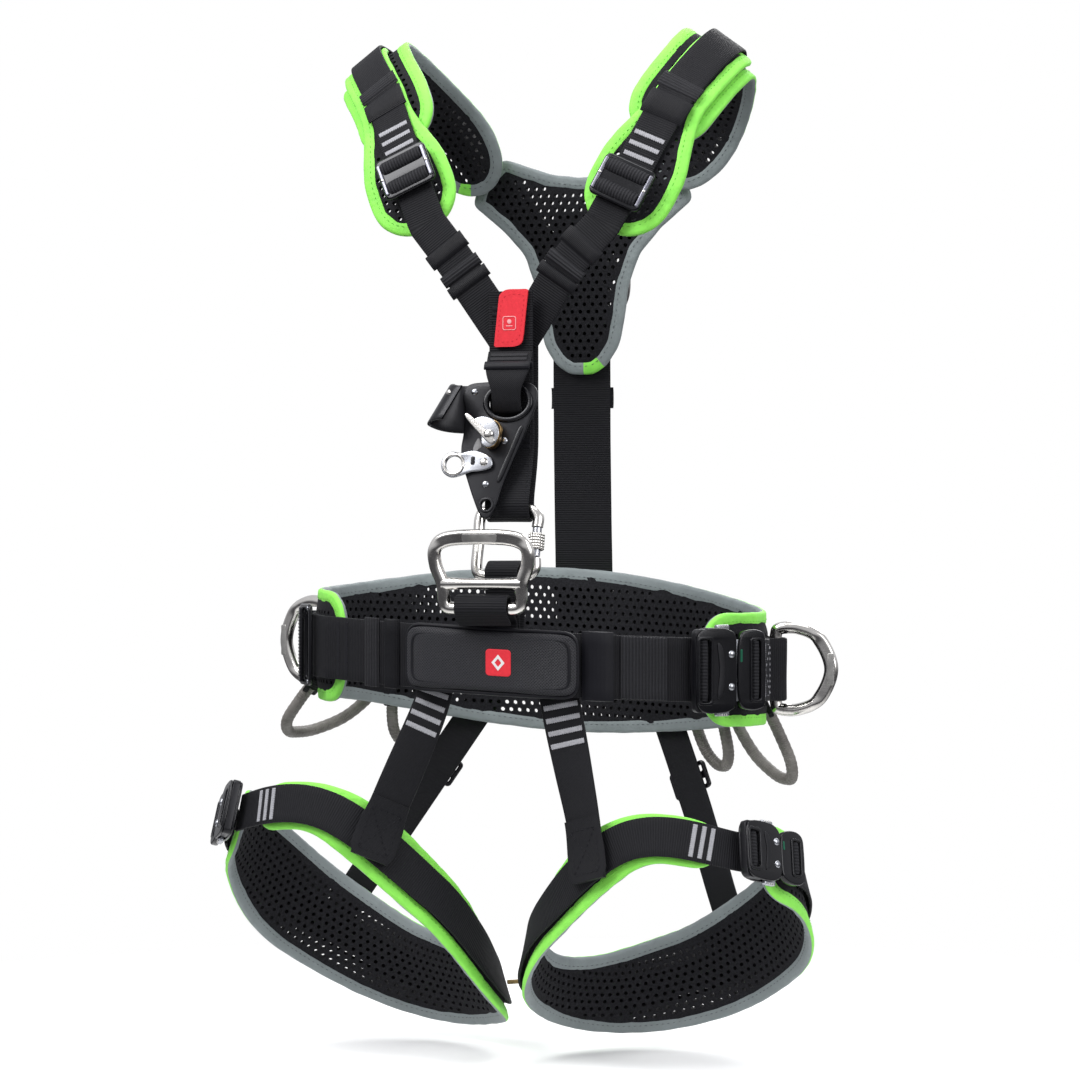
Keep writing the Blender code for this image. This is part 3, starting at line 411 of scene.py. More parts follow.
LOOK = {
    "webbing": woven("webbing", (0.0022, 0.0022, 0.0032), (0.0135, 0.0135, 0.0170), 1.7, 0.8, 0.6),
    "webbing_twill": woven(
        "webbing_twill", (0.0025, 0.0025, 0.0034), (0.0125, 0.0125, 0.0160), 1.3, 0.7, 0.5, 0.6, 0.9
    ),
    "webbing_ribbed": woven(
        "webbing_ribbed", (0.0030, 0.0030, 0.0042), (0.026, 0.026, 0.031), 2.3, 0.9, 0.9, 0.55
    ),
    "satin": woven("satin_webbing", (0.003, 0.003, 0.005), (0.010, 0.010, 0.014), 0.9, 0.6, 0.25, 0.42),
    "elastic": woven("elastic_band", (0.002, 0.002, 0.003), (0.008, 0.008, 0.011), 1.0, 1.2, 0.4, 0.5),
    "green": binding_cloth("binding_green", (0.235, 0.72, 0.075), (0.12, 0.47, 0.04)),
    "grey": binding_cloth("binding_grey", (0.195, 0.225, 0.228), (0.11, 0.128, 0.132)),
    "foam": foam_cloth(),
    "net": mesh_cloth(),
    "piping": plain_cloth("piping", (0.008, 0.008, 0.011), 0.5),
    "tack": plain_cloth("tack_thread", (0.36, 0.36, 0.385), 0.55, 0.45, 900.0),
    "thread": plain_cloth("dark_thread", (0.010, 0.010, 0.013), 0.5),
    "green_thread": plain_cloth("green_thread", (0.13, 0.47, 0.05), 0.6),
    "grey_thread": plain_cloth("grey_thread", (0.10, 0.115, 0.12), 0.6),
    "red": plain_cloth("red_coated", (0.70, 0.035, 0.05), 0.45, 0.2, 500.0),
    "white": plain_cloth("white_print", (0.75, 0.72, 0.72), 0.5, 0.15),
    "cord": plain_cloth("tan_cord", (0.42, 0.30, 0.13), 0.7, 0.4, 600.0),
    "steel": metal("polished_steel", (0.66, 0.64, 0.61), 0.10, 0.24),
    "stamped": metal("stamped_steel", (0.52, 0.51, 0.49), 0.28, 0.46, 0.5, 1.0, 0.35),
    "zinc": metal("zinc_steel", (0.40, 0.41, 0.44), 0.2, 0.36),
    "print": plain_cloth("pale_print", (0.42, 0.42, 0.43), 0.5, 0.3, 900.0),
    "tab_print": plain_cloth("tab_print", (0.80, 0.36, 0.37), 0.5, 0.15, 600.0),
    "red_thread": plain_cloth("red_thread", (0.56, 0.02, 0.035), 0.5, 0.25, 500.0),
    "post": metal("buckle_post", (0.16, 0.16, 0.19), 0.25, 0.4, 0.1, 0.8),
    "black_alloy": metal("black_alloy", (0.0075, 0.0075, 0.010), 0.28, 0.44, 0.15, 0.5),
    "black_gloss": metal("black_gloss", (0.0050, 0.0050, 0.007), 0.14, 0.28, 0.08, 0.4),
    "bronze": metal("spring_bronze", (0.50, 0.33, 0.15), 0.22, 0.4),
    # Dark green colour of a painted glint on the male buckle halves, not of a part.
    "painted_glint": plain_cloth("painted_green_glint", (0.01, 0.10, 0.055), 0.3, 0.2),
    "tube": tube_plastic(),
}


# ---------------------------------------------------------------- mesh collecting


class Piece:
    """One visible mesh gathered from several closed shapes, in millimetres."""

    def __init__(self, name):
        self.name = name
        self.vertices = []
        self.faces = []
        self.slots = []
        self.uvs = []
        self.looks = []

    def slot_of(self, look):
        if look not in self.looks:
            self.looks.append(look)
        return self.looks.index(look)

    def add(self, vertices, faces, look, uvs=None, face_looks=None):
        start = len(self.vertices)
        self.vertices.extend(tuple(v) for v in vertices)
        self.uvs.extend(uvs if uvs is not None else [(v[0], v[2]) for v in vertices])
        for number, face in enumerate(faces):
            self.faces.append(tuple(start + i for i in face))
            self.slots.append(self.slot_of(face_looks[number] if face_looks else look))

    def build(self, body, replaces, slot, sharp=38.0):
        mesh = bpy.data.meshes.new(self.name)
        points = (np.array(self.vertices, float) - np.array(BACK_REST)) * MM
        mesh.from_pydata([tuple(point) for point in points], [], self.faces)
        for look in self.looks:
            mesh.materials.append(LOOK[look])
        mesh.polygons.foreach_set("material_index", self.slots)
        layer = mesh.uv_layers.new(name="Weave")
        corner_vertex = np.zeros(len(mesh.loops), np.int32)
        mesh.loops.foreach_get("vertex_index", corner_vertex)
        flat = np.array(self.uvs, float)[corner_vertex] * MM
        layer.data.foreach_set("uv", flat.astype(np.float32).ravel())
        work = bmesh.new()
        work.from_mesh(mesh)
        bmesh.ops.recalc_face_normals(work, faces=work.faces)
        work.to_mesh(mesh)
        work.free()
        mesh.shade_smooth()
        mesh.set_sharp_from_angle(angle=math.radians(sharp))
        made = bpy.data.objects.new(self.name, mesh)
        bpy.context.scene.collection.objects.link(made)
        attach(made, body)
        if replaces:
            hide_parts(*replaces)
        return made


def spline(points, spans, closed=False):
    """Catmull-Rom samples through the points."""
    anchors = [Vector(p) for p in points]
    count = len(anchors)
    samples = []
    if not closed:
        anchors = [2 * anchors[0] - anchors[1], *anchors, 2 * anchors[-1] - anchors[-2]]
    for i in range(count if closed else count - 1):
        if closed:
            a, b, c, d = (anchors[(i + k) % count] for k in (-1, 0, 1, 2))
        else:
            a, b, c, d = anchors[i : i + 4]
        for step in range(spans):
            t = step / spans
            samples.append(
                0.5
                * (
                    2 * b
                    + (c - a) * t
                    + (2 * a - 5 * b + 4 * c - d) * t**2
                    + (3 * b - a - 3 * c + d) * t**3
                )
            )
    if not closed:
        samples.append(anchors[-2])
    return samples


def path_stations(centres, outwards, closed=False):
    """(centre, side, normal) along centres, normals leaning towards the outward directions."""
    stations = []
    last = len(centres) - 1
    for i, centre in enumerate(centres):
        before = centres[i - 1] if closed or i else centre
        after = centres[(i + 1) % len(centres)] if closed or i < last else centre
        along = (after - before).normalized()
        side = along.cross(outwards[i]).normalized()
        stations.append((centre, side, side.cross(along).normalized()))
    return stations


def guided_path(guide, spans):
    """Stations along (point, outward direction) pairs."""
    centres = spline([point for point, _ in guide], spans)
    outwards = spline([outward for _, outward in guide], spans)
    return path_stations(centres, outwards)


def webbing_path(points, outwards, spans):
    """Path through points, with an outward direction at each."""
    return Path(guided_path(list(zip(points, outwards)), spans))


def raised(stations, lift):
    """The stations moved out along their normals."""
    return [(centre + normal * lift, side, normal) for centre, side, normal in stations]


def smooth_step(value, start, end):
    """0 to 1 between start and end, level at both."""
    share = min(1.0, max(0.0, (value - start) / (end - start)))
    return share * share * (3 - 2 * share)


class Path:
    """A ribbon's stations, readable at any distance along it."""

    def __init__(self, stations):
        self.centres = np.array([tuple(s[0]) for s in stations])
        self.sides = np.array([tuple(s[1]) for s in stations])
        self.normals = np.array([tuple(s[2]) for s in stations])
        steps = np.linalg.norm(np.diff(self.centres, axis=0), axis=1)
        self.reached = np.concatenate([[0.0], np.cumsum(steps)])
        self.length = float(self.reached[-1])
        self.alongs = np.gradient(self.centres, self.reached, axis=0)

    def read(self, values, distance):
        inside = np.clip(distance, 0.0, self.length)
        return np.stack([np.interp(inside, self.reached, values[:, k]) for k in range(3)], -1)

    def points(self, distance, across, height):
        """World points for arrays of distance, across and height."""
        distance = np.asarray(distance, float)
        inside = np.clip(distance, 0.0, self.length)
        beyond = (distance - inside)[..., None]
        sides = self.read(self.sides, distance)
        sides /= np.linalg.norm(sides, axis=-1, keepdims=True)
        normals = self.read(self.normals, distance)
        normals /= np.linalg.norm(normals, axis=-1, keepdims=True)
        centre = self.read(self.centres, distance) + self.read(self.alongs, distance) * beyond
        across = np.asarray(across, float)[..., None]
        height = np.asarray(height, float)[..., None]
        return centre + sides * across + normals * height

    def point(self, distance, across=0.0, height=0.0):
        return Vector(self.points(np.array([distance]), np.array([across]), np.array([height]))[0])

    def normal(self, distance):
        return Vector(self.read(self.normals, np.array([distance]))[0]).normalized()

    def side(self, distance):
        return Vector(self.read(self.sides, np.array([distance]))[0]).normalized()

    def along(self, distance):
        return Vector(self.read(self.alongs, np.array([distance]))[0]).normalized()


def flat_profile(width, thickness, cells=6):
    """Ring of (across, height) for flat webbing with round edges."""
    radius = thickness / 2
    edge = width / 2 - radius
    ring = [(-edge + 2 * edge * i / cells, radius) for i in range(cells + 1)]
    ring += [(edge + radius * math.sin(t), radius * math.cos(t)) for t in (0.8, 1.57, 2.34)]
    ring += [(edge - 2 * edge * i / cells, -radius) for i in range(cells + 1)]
    ring += [(-edge - radius * math.sin(t), -radius * math.cos(t)) for t in (0.8, 1.57, 2.34)]
    return ring


def loft(rings, closed=False):
    """Faces that join equal rings of vertices, with caps when open."""
    count = len(rings[0])
    faces = []
    total = len(rings)
    for ring in range(total if closed else total - 1):
        after = (ring + 1) % total
        for corner in range(count):
            beyond = (corner + 1) % count
            faces.append(
                (
                    ring * count + corner,
                    ring * count + beyond,
                    after * count + beyond,
                    after * count + corner,
                )
            )
    if not closed:
        faces.append(tuple(reversed(range(count))))
        faces.append(tuple(range((total - 1) * count, total * count)))
    return faces


def add_strap(piece, path, width, look="webbing", thickness=WEB_THICK, start=0.0, end=None,
              lift=0.0, step=2.2, wave=0.22, seed=0.0, narrow=None):
    """Flat webbing along a path with slight waviness; narrow(distance) scales its width."""
    end = path.length if end is None else end
    count = max(2, int(math.ceil((end - start) / step)) + 1)
    ring = np.array(flat_profile(width, thickness))
    vertices = []
    uvs = []
    for i in range(count):
        distance = start + (end - start) * i / (count - 1)
        across = ring[:, 0] * (narrow(distance) if narrow else 1.0)
        height = ring[:, 1] + lift
        if wave:
            sway = [
                noise.noise(Vector((distance * 0.035, a * 0.03, seed))) * wave * 2 for a in across
            ]
            height = height + np.array(sway)
        placed = path.points(np.full(len(ring), distance), across, height)
        vertices.extend(placed)
        uvs.extend((a, distance) for a in across)
    rings = [range(len(ring))] * count
    piece.add(vertices, loft(rings), look, uvs)


def add_keeper(piece, path, distance, length, width, lift, look="elastic", thickness=2.2):
    """A folded or elastic band over the webbing: a pillow across its width."""
    ring = flat_profile(width, thickness, 6)
    vertices = []
    uvs = []
    steps = 9
    for i in range(steps):
        share = i / (steps - 1)
        rise = math.sin(math.pi * min(1.0, max(0.0, share))) ** 0.45
        place = distance + length * (share - 0.5)
        for across, height in ring:
            top = lift + height * (0.35 + 0.65 * rise) + 0.5 * thickness * rise
            vertices.append(path.point(place, across, top))
            uvs.append((across, place))
    piece.add(vertices, loft([range(len(ring))] * steps), look, uvs)


def add_bar(piece, path, distance, width, lift, size=3.3, look="tack", rise=0.75):
    """A bar tack: dense zigzag stitching across the webbing."""
    cells = max(6, int(width / 0.8))
    section = ((-1.0, 0.0), (-0.85, 0.75), (0.0, 1.0), (0.85, 0.75), (1.0, 0.0))
    vertices = []
    for i in range(cells + 1):
        across = width * (i / cells - 0.5)
        ridge = 1.0 if i % 2 else 0.62
        stagger = 0.22 if i % 2 else -0.22
        for along, height in section:
            place = distance + along * size / 2 + stagger
            vertices.append(path.point(place, across, lift + rise * height * ridge))
    piece.add(vertices, loft([range(len(section))] * (cells + 1)), look)


def add_stitches(piece, points, normals, look="thread", length=2.7, gap=1.3, radius=0.42):
    """A row of single stitches laid along a line of points."""
    line = np.array([tuple(p) for p in points])
    facing = np.array([tuple(n) for n in normals])
    steps = np.linalg.norm(np.diff(line, axis=0), axis=1)
    reached = np.concatenate([[0.0], np.cumsum(steps)])
    total = reached[-1]
    count = int(total / (length + gap))
    if count < 1:
        return
    pitch = total / count
    for i in range(count):
        ends = []
        for place in (i * pitch + gap / 2, i * pitch + gap / 2 + length):
            ends.append(Vector([np.interp(place, reached, line[:, k]) for k in range(3)]))
        middle = i * pitch + pitch / 2
        up = Vector([np.interp(middle, reached, facing[:, k]) for k in range(3)]).normalized()
        along = (ends[1] - ends[0]).normalized()
        side = along.cross(up).normalized()
        centre = (ends[0] + ends[1]) / 2
        ring = [
            centre + side * radius,
            centre + up * radius * 1.3,
            centre - side * radius,
            centre - up * radius,
        ]
        faces = []
        for k in range(4):
            faces.append((0, 2 + k, 2 + (k + 1) % 4))
            faces.append((1, 2 + (k + 1) % 4, 2 + k))
        piece.add([*ends, *ring], faces, look)


def stitch_line(piece, path, start, end, across, lift, look="thread"):
    """Stitches along a path from start to end at one offset across."""
    count = max(2, int(abs(end - start) / 3) + 1)
    places = [start + (end - start) * i / (count - 1) for i in range(count)]
    points = [path.point(s, across, lift) for s in places]
    add_stitches(piece, points, [path.normal(s) for s in places], look)


def stitch_across(piece, path, distance, width, lift, look="thread"):
    """Stitches from edge to edge of a ribbon."""
    count = max(2, int(width / 3) + 1)
    points = [path.point(distance, width * (i / (count - 1) - 0.5), lift) for i in range(count)]
    add_stitches(piece, points, [path.normal(distance)] * count, look)


def stitch_box(piece, path, start, end, width, lift, look="thread"):
    """A sewn rectangle with a cross in it."""
    for across in (-width / 2, width / 2):
        stitch_line(piece, path, start, end, across, lift, look)
    stitch_across(piece, path, start, width, lift, look)
    stitch_across(piece, path, end, width, lift, look)
    steps = 8
    for sign in (-1, 1):
        points = []
        normals = []
        for i in range(steps + 1):
            share = i / steps
            place = start + (end - start) * share
            points.append(path.point(place, sign * width * (share - 0.5), lift))
            normals.append(path.normal(place))
        add_stitches(piece, points, normals, look)


def add_tube(piece, stations, radius, look, sides=18, closed=False, shape=None):
    """A round bar along stations; shape(index, turn) gives (side, normal) scales."""
    vertices = []
    uvs = []
    travelled = 0.0
    for i, (centre, side, normal) in enumerate(stations):
        if i:
            travelled += (centre - stations[i - 1][0]).length
        for k in range(sides):
            turn = 2 * math.pi * k / sides
            across = radius * math.cos(turn)
            height = radius * math.sin(turn)
            if shape:
                scale_a, scale_b = shape(i / max(1, len(stations) - 1), turn)
                across *= scale_a
                height *= scale_b
            vertices.append(centre + side * across + normal * height)
            uvs.append((radius * turn, travelled))
    piece.add(vertices, loft([range(sides)] * len(stations), closed), look, uvs)


def add_turned(piece, origin, axis, profile, look, sides=24):
    """A lathe shape from (radius, height) pairs about an axis, closed at both ends."""
    axis = Vector(axis).normalized()
    across = axis.orthogonal().normalized()
    beyond = axis.cross(across)
    vertices = []
    for radius, height in profile:
        for k in range(sides):
            turn = 2 * math.pi * k / sides
            spoke = across * math.cos(turn) + beyond * math.sin(turn)
            vertices.append(Vector(origin) + axis * height + spoke * max(radius, 0.01))
    piece.add(vertices, loft([range(sides)] * len(profile)), look)


def dome(radius, height):
    """Lathe profile of a rivet head."""
    steps = 5
    profile = [(radius, -0.6)]
    for i in range(steps + 1):
        turn = math.pi / 2 * i / steps
        profile.append((radius * math.cos(turn), height * math.sin(turn)))
    return profile


def add_rivet(piece, origin, axis, radius=2.6, height=1.2, look="zinc"):
    """A domed rivet head."""
    add_turned(piece, origin, axis, dome(radius, height), look, 20)


def rounded_box(half_a, half_b, radius, steps=7):
    """Outline of a rounded rectangle."""
    outline = []
    for corner in range(4):
        sign_a = 1 if corner in (0, 3) else -1
        sign_b = 1 if corner in (0, 1) else -1
        for step in range(steps + 1):
            turn = math.radians(90 * corner + 90 * step / steps)
            outline.append(
                (
                    sign_a * (half_a - radius) + radius * math.cos(turn),
                    sign_b * (half_b - radius) + radius * math.sin(turn),
                )
            )
    return outline


def circle(radius, centre=(0.0, 0.0), count=28):
    """Outline of a circle."""
    turns = [2 * math.pi * i / count for i in range(count)]
    return [(centre[0] + radius * math.cos(t), centre[1] + radius * math.sin(t)) for t in turns]


def ellipse(half_a, half_b, rise):
    """Outline of an ellipse above the origin."""
    count = 40
    turns = [2 * math.pi * i / count for i in range(count)]
    return [(half_a * math.cos(t), rise + half_b * math.sin(t)) for t in turns]


def mirrored(points):
    """The points, then their mirror images across the first axis, backwards."""
    return [*points, *((a, -b) for a, b in reversed(points))]


def moved(outline, across, up):
    """The outline shifted in its plane."""
    return [(a + across, b + up) for a, b in outline]


def smooth_outline(points, spans=5):
    """A closed smooth outline through the points."""
    return [(p.x, p.y) for p in spline([(a, b, 0) for a, b in points], spans, closed=True)]


def add_plate(piece, outline, origin, right, up, thickness, look, holes=(), bevel=0.8, rings=3):
    """A plate with rounded edges standing out from its plane by its thickness."""
    right = Vector(right).normalized()
    up = Vector(up).normalized()
    facing = right.cross(up)
    bevel = min(bevel, thickness / 2 - 0.05)
    curve = bpy.data.curves.new("plate_outline", "CURVE")
    curve.dimensions = "2D"
    curve.fill_mode = "BOTH"
    curve.extrude = thickness / 2 - bevel
    curve.bevel_depth = bevel
    curve.bevel_resolution = rings
    curve.offset = -bevel
    for loop in (outline, *holes):
        line = curve.splines.new("POLY")
        line.points.add(len(loop) - 1)
        for point, (a, b) in zip(line.points, loop):
            point.co = (a, b, 0, 1)
        line.use_cyclic_u = True
    holder = bpy.data.objects.new("plate_outline", curve)
    bpy.context.scene.collection.objects.link(holder)
    graph = bpy.context.evaluated_depsgraph_get()
    mesh = bpy.data.meshes.new_from_object(holder.evaluated_get(graph), depsgraph=graph)
    bpy.data.objects.remove(holder)
    bpy.data.curves.remove(curve)
    work = bmesh.new()
    work.from_mesh(mesh)
    bmesh.ops.remove_doubles(work, verts=work.verts, dist=0.0005)
    work.verts.ensure_lookup_table()
    vertices = []
    uvs = []
    for vertex in work.verts:
        a, b, h = vertex.co
        vertices.append(Vector(origin) + right * a + up * b + facing * (h + thickness / 2))
        uvs.append((a, b))
    faces = [tuple(v.index for v in face.verts) for face in work.faces]
    work.free()
    bpy.data.meshes.remove(mesh)
    piece.add(vertices, faces, look, uvs)


# ---------------------------------------------------------------- the part's paths


def belt_point(angle, out, height=0.0):
    """A point on the belt: degrees from the front towards image right, out from its inner face."""
    turn = math.radians(angle)
    x = (WAIST_HALF_X + out) * math.sin(turn)
    y = -(WAIST_HALF_Y + out) * math.cos(turn)
    return Vector((x, y, height - WAIST_ROLL * x))


def belt_frame(angle, out):
    """(point, along, up, outward) on the outside of the belt at an angle."""
    along = (belt_point(angle + 0.5, out) - belt_point(angle - 0.5, out)).normalized()
    along.z = 0.0
    along.normalize()
    up = Vector((0, 0, 1))
    return belt_point(angle, out), along, up, along.cross(up)


def belt_path(start, end, out, steps):
    """Path along the belt; out(angle) is its distance from the belt's inner face."""
    stations = []
    for i in range(steps + 1):
        angle = start + (end - start) * i / steps
        centre, _, up, outward = belt_frame(angle, out(angle))
        stations.append((centre, up, outward))
    return Path(stations)


def belt_angle_distance(path, angle, start, end):
    """Distance along a belt path where it passes an angle."""
    return np.interp(
        (angle - start) / (end - start), np.linspace(0, 1, len(path.reached)), path.reached
    )


def ring_bulge(angle):
    """How far the belt's webbing stands out over the side rings' bars."""
    off = min(abs(angle - RING_BAR_ANGLE), abs(360 - angle - RING_BAR_ANGLE))
    return 10.4 * smooth_step(9.0 - off, 0.0, 6.0)


def leg_height(side, angle):
    """Height of a leg loop's middle line, a Catmull-Rom curve through its eight heights."""
    heights = LEG_HEIGHTS[side]
    place = (angle / 45.0) % 8
    index = int(place)
    t = place - index
    a, b, c, d = (heights[(index + k) % 8] for k in (-1, 0, 1, 2))
    cubic = (3 * b - a - 3 * c + d) * t**3
    return 0.5 * (2 * b + (c - a) * t + (2 * a - 5 * b + 4 * c - d) * t**2 + cubic)


def leg_point(side, angle):
    """A point on a leg loop: degrees from the front towards the outside."""
    turn = math.radians(angle)
    x = LEG_CENTRE_X[side] + SIDE_SIGN[side] * LEG_HALF_X * math.sin(turn)
    y = LEG_CENTRE_Y - LEG_HALF_Y * math.cos(turn)
    return Vector((x, y, leg_height(side, angle)))


def leg_station(side, angle, lift=0.0):
    """(point, across, normal) of a leg loop; the loop widens upwards."""
    turn = math.radians(angle)
    centre = leg_point(side, angle)
    along = (leg_point(side, angle + 1.0) - leg_point(side, angle - 1.0)).normalized()
    outward = Vector((SIDE_SIGN[side] * math.sin(turn), -math.cos(turn), LEG_CONE)).normalized()
    across = along.cross(outward).normalized()
    if across.z < 0:
        across = -across
    normal = outward - along * outward.dot(along)
    normal.normalize()
    return centre + normal * lift, across, normal


def leg_path(side, first, last, lift=0.0):
    """Path round the thigh between whole steps, with finer stations."""
    direction = 1 if last > first else -1
    count = abs(last - first) * FINER
    angles = [(first + direction * i / FINER) * LEG_STEP for i in range(count + 1)]
    return Path([leg_station(side, angle, lift) for angle in angles])


def shoulder_line(side):
    """Stations from the shoulder blade over the shoulder to the chest."""
    return guided_path(SHOULDER_LINE[side], LINE_SPANS * FINER)


def connector_axes():
    """The connector's foot, its direction and its length."""
    up = (CONNECTOR_TOP - CONNECTOR_FOOT).normalized()
    return CONNECTOR_FOOT, up, (CONNECTOR_TOP - CONNECTOR_FOOT).length


# ---------------------------------------------------------------- pads


def resample(loop, pitch):
    """A closed loop with evenly spaced points, without sharp corners."""
    points = np.array(loop, float)
    closed = np.vstack([points, points[:1]])
    steps = np.linalg.norm(np.diff(closed, axis=0), axis=1)
    reached = np.concatenate([[0.0], np.cumsum(steps)])
    count = int(reached[-1] / pitch)
    places = np.linspace(0, reached[-1], count, endpoint=False)
    even = np.stack([np.interp(places, reached, closed[:, k]) for k in (0, 1)], -1)
    for _ in range(3):
        even = 0.25 * np.roll(even, 1, 0) + 0.5 * even + 0.25 * np.roll(even, -1, 0)
    return even


def inside_loop(points, loop):
    """Which points lie inside a closed loop."""
    x, y = points[:, 0], points[:, 1]
    within = np.zeros(len(points), bool)
    for (ax, ay), (bx, by) in zip(loop, np.roll(loop, -1, 0)):
        crosses = (ay > y) != (by > y)
        if ay != by:
            within ^= crosses & (x < (bx - ax) * (y - ay) / (by - ay) + ax)
    return within


def edge_distance(points, loop):
    """Distance from each point to the loop's nearest segment."""
    best = np.full(len(points), 1e9)
    for a, b in zip(loop, np.roll(loop, -1, 0)):
        span = b - a
        t = np.clip(((points - a) @ span) / max(span @ span, 1e-9), 0, 1)
        best = np.minimum(best, np.linalg.norm(points - a - t[:, None] * span, axis=1))
    return best


def add_perforated(piece, place, loop, thickness, edge):
    """A foam sheet with real holes: both faces, the hole walls and the rim."""
    low = loop.min(0)
    high = loop.max(0)
    pitch = HOLE_PITCH
    row_pitch = pitch * math.sqrt(3) / 2
    centres = []
    for row in range(int((high[1] - low[1]) / row_pitch) + 2):
        shift = 0.5 * pitch * (row % 2)
        for column in range(int((high[0] - low[0]) / pitch) + 2):
            centres.append((low[0] + column * pitch + shift, low[1] + 2.0 + row * row_pitch))
    centres = np.array(centres)
    keep = inside_loop(centres, loop)
    centres = centres[keep]
    centres = centres[edge_distance(centres, loop) > BINDING_WIDTH + 2.2]
    flat = [tuple(p) for p in loop]
    owner = [-1] * len(flat)
    constraints = [list(range(len(flat)))]
    for number, (a, b) in enumerate(centres):
        first = len(flat)
        for k in range(HOLE_SIDES):
            turn = 2 * math.pi * (k + 0.5) / HOLE_SIDES
            flat.append((a + HOLE_RADIUS * math.cos(turn), b + HOLE_RADIUS * math.sin(turn)))
            owner.append(number)
        constraints.append(list(range(first, first + HOLE_SIDES)))
    cut = delaunay_2d_cdt([Vector(p) for p in flat], [], constraints, 0, 1e-5)
    out_points, out_faces, origins = cut[0], cut[2], cut[3]
    owners = [owner[source[0]] if source else -1 for source in origins]
    corners = np.array([tuple(p) for p in out_points])
    triangles = []
    outer_only = []
    for face in out_faces:
        kinds = {owners[i] for i in face}
        if len(kinds) == 1:
            kind = kinds.pop()
            if kind >= 0:
                continue
            outer_only.append(tuple(face))
        else:
            triangles.append(tuple(face))
    if outer_only:
        middles = np.array([corners[list(face)].mean(0) for face in outer_only])
        within = inside_loop(middles, loop)
        triangles += [face for face, good in zip(outer_only, within) if good]
    depth = edge_distance(corners, loop)
    share = np.clip((depth - BINDING_WIDTH + 1.5) / 9.0, 0, 1)
    share = share * share * (3 - 2 * share)
    half = (edge + (thickness - edge) * share) / 2
    outer = place(corners[:, 0], corners[:, 1], half)
    inner = place(corners[:, 0], corners[:, 1], -half)
    count = len(corners)
    faces = list(triangles)
    faces += [tuple(count + i for i in reversed(face)) for face in triangles]
    edges = {}
    for face in triangles:
        for a, b in zip(face, face[1:] + face[:1]):
            edges[(a, b)] = edges.get((a, b), 0) + 1
    for a, b in edges:
        if (b, a) not in edges:
            faces.append((b, a, count + a, count + b))
    uvs = [(p[0], p[1]) for p in corners] * 2
    piece.add([*outer, *inner], faces, "foam", uvs)


BINDING_SECTION = (
    (-7.8, 0.40),
    (-7.8, 0.86),
    (-7.2, 0.97),
    (-4.6, 1.00),
    (-1.2, 0.98),
    (0.3, 0.82),
    (1.1, 0.45),
    (1.3, 0.0),
)


def add_binding(piece, place, loop, half, outer="green", inner="grey", green_tabs=(), seed=0.0):
    """Folded tape round a pad's edge; half is its half thickness."""
    count = len(loop)
    before = np.roll(loop, 1, 0)
    after = np.roll(loop, -1, 0)
    tangent = after - before
    tangent /= np.linalg.norm(tangent, axis=1, keepdims=True)
    area = 0.5 * np.sum(loop[:, 0] * after[:, 1] - after[:, 0] * loop[:, 1])
    sign = 1.0 if area > 0 else -1.0
    outward = np.stack([tangent[:, 1], -tangent[:, 0]], -1) * sign
    reached = np.concatenate([[0.0], np.cumsum(np.linalg.norm(np.diff(loop, axis=0), axis=1))])
    section = list(BINDING_SECTION) + [(a, -b) for a, b in reversed(BINDING_SECTION[:-1])]
    rows = len(section)
    vertices = np.zeros((count, rows, 3))
    uvs = []
    for k, (a, b) in enumerate(section):
        wobble = np.array(
            [
                noise.noise(Vector((d * 0.11, a * 0.35, seed + (3.0 if b < 0 else 0.0))))
                for d in reached
            ]
        )
        inset = a + (wobble * 0.9 if a < -4 else wobble * 0.35)
        flat = loop + outward * inset[:, None]
        height = b * half * (1.0 + 0.16 * wobble)
        vertices[:, k] = place(flat[:, 0], flat[:, 1], height)
    for i in range(count):
        uvs.extend((a + (20.0 if b < 0 else 0.0), reached[i]) for a, b in section)
    faces = []
    looks = []
    for i in range(count):
        j = (i + 1) % count
        share = i / count
        tabbed = any(first <= share <= last for first, last in green_tabs)
        for k in range(rows):
            m = (k + 1) % rows
            faces.append((i * rows + k, i * rows + m, j * rows + m, j * rows + k))
            front = k < len(BINDING_SECTION) - 1
            looks.append("green" if tabbed else outer if front else inner)
    piece.add(vertices.reshape(-1, 3), faces, outer, uvs, looks)
    for level, thread in ((1.0, outer + "_thread"), (-1.0, inner + "_thread")):
        flat = loop - outward * 5.0
        points = place(flat[:, 0], flat[:, 1], np.full(count, level * half * 1.02))
        deeper = place(flat[:, 0], flat[:, 1], np.full(count, level * (half * 1.02 + 1.0)))
        normals = deeper - points
        add_stitches(piece, points, normals, thread, 2.6, 1.6, 0.3)


def add_pad(node, place, loop, thickness, edge, **binding):
    """A perforated pad and its binding as two pieces."""
    sheet = Piece(f"{node}_look_foam")
    add_perforated(sheet, place, loop, thickness, edge)
    sheet.build(HARNESS, (node,), "perforated_foam", sharp=50.0)
    trim = Piece(f"{node}_look_binding")
    add_binding(trim, place, loop, edge / 2 + 0.9, **binding)
    trim.build(HARNESS, (), "perforated_foam", sharp=60.0)


def rounded_limits(low, high, end, shape=2.2):
    """Edge limits that close to a rounded end over a share of the length."""

    def limits(share):
        near = min(share, 1 - share) / end
        closing = 1.0 if near >= 1 else max(0.0, 1 - (1 - near) ** shape) ** (1 / shape)
        middle = (low(share) + high(share)) / 2
        half = (high(share) - low(share)) / 2 * closing
        return middle - half, middle + half

    return limits


# ---------------------------------------------------------------- waist


def pad_outline(path, limits):
    """Closed loop of (distance, across); limits are read by the station share."""
    pieces = 160
    low = []
    high = []
    shares = np.linspace(0, 1, len(path.reached))
    for i in range(pieces + 1):
        share = 0.5 - 0.5 * math.cos(math.pi * i / pieces)
        near, far = limits(share)
        distance = float(np.interp(share, shares, path.reached))
        low.append((distance, near))
        high.append((distance, far))
    return resample(low + high[::-1], 2.6)


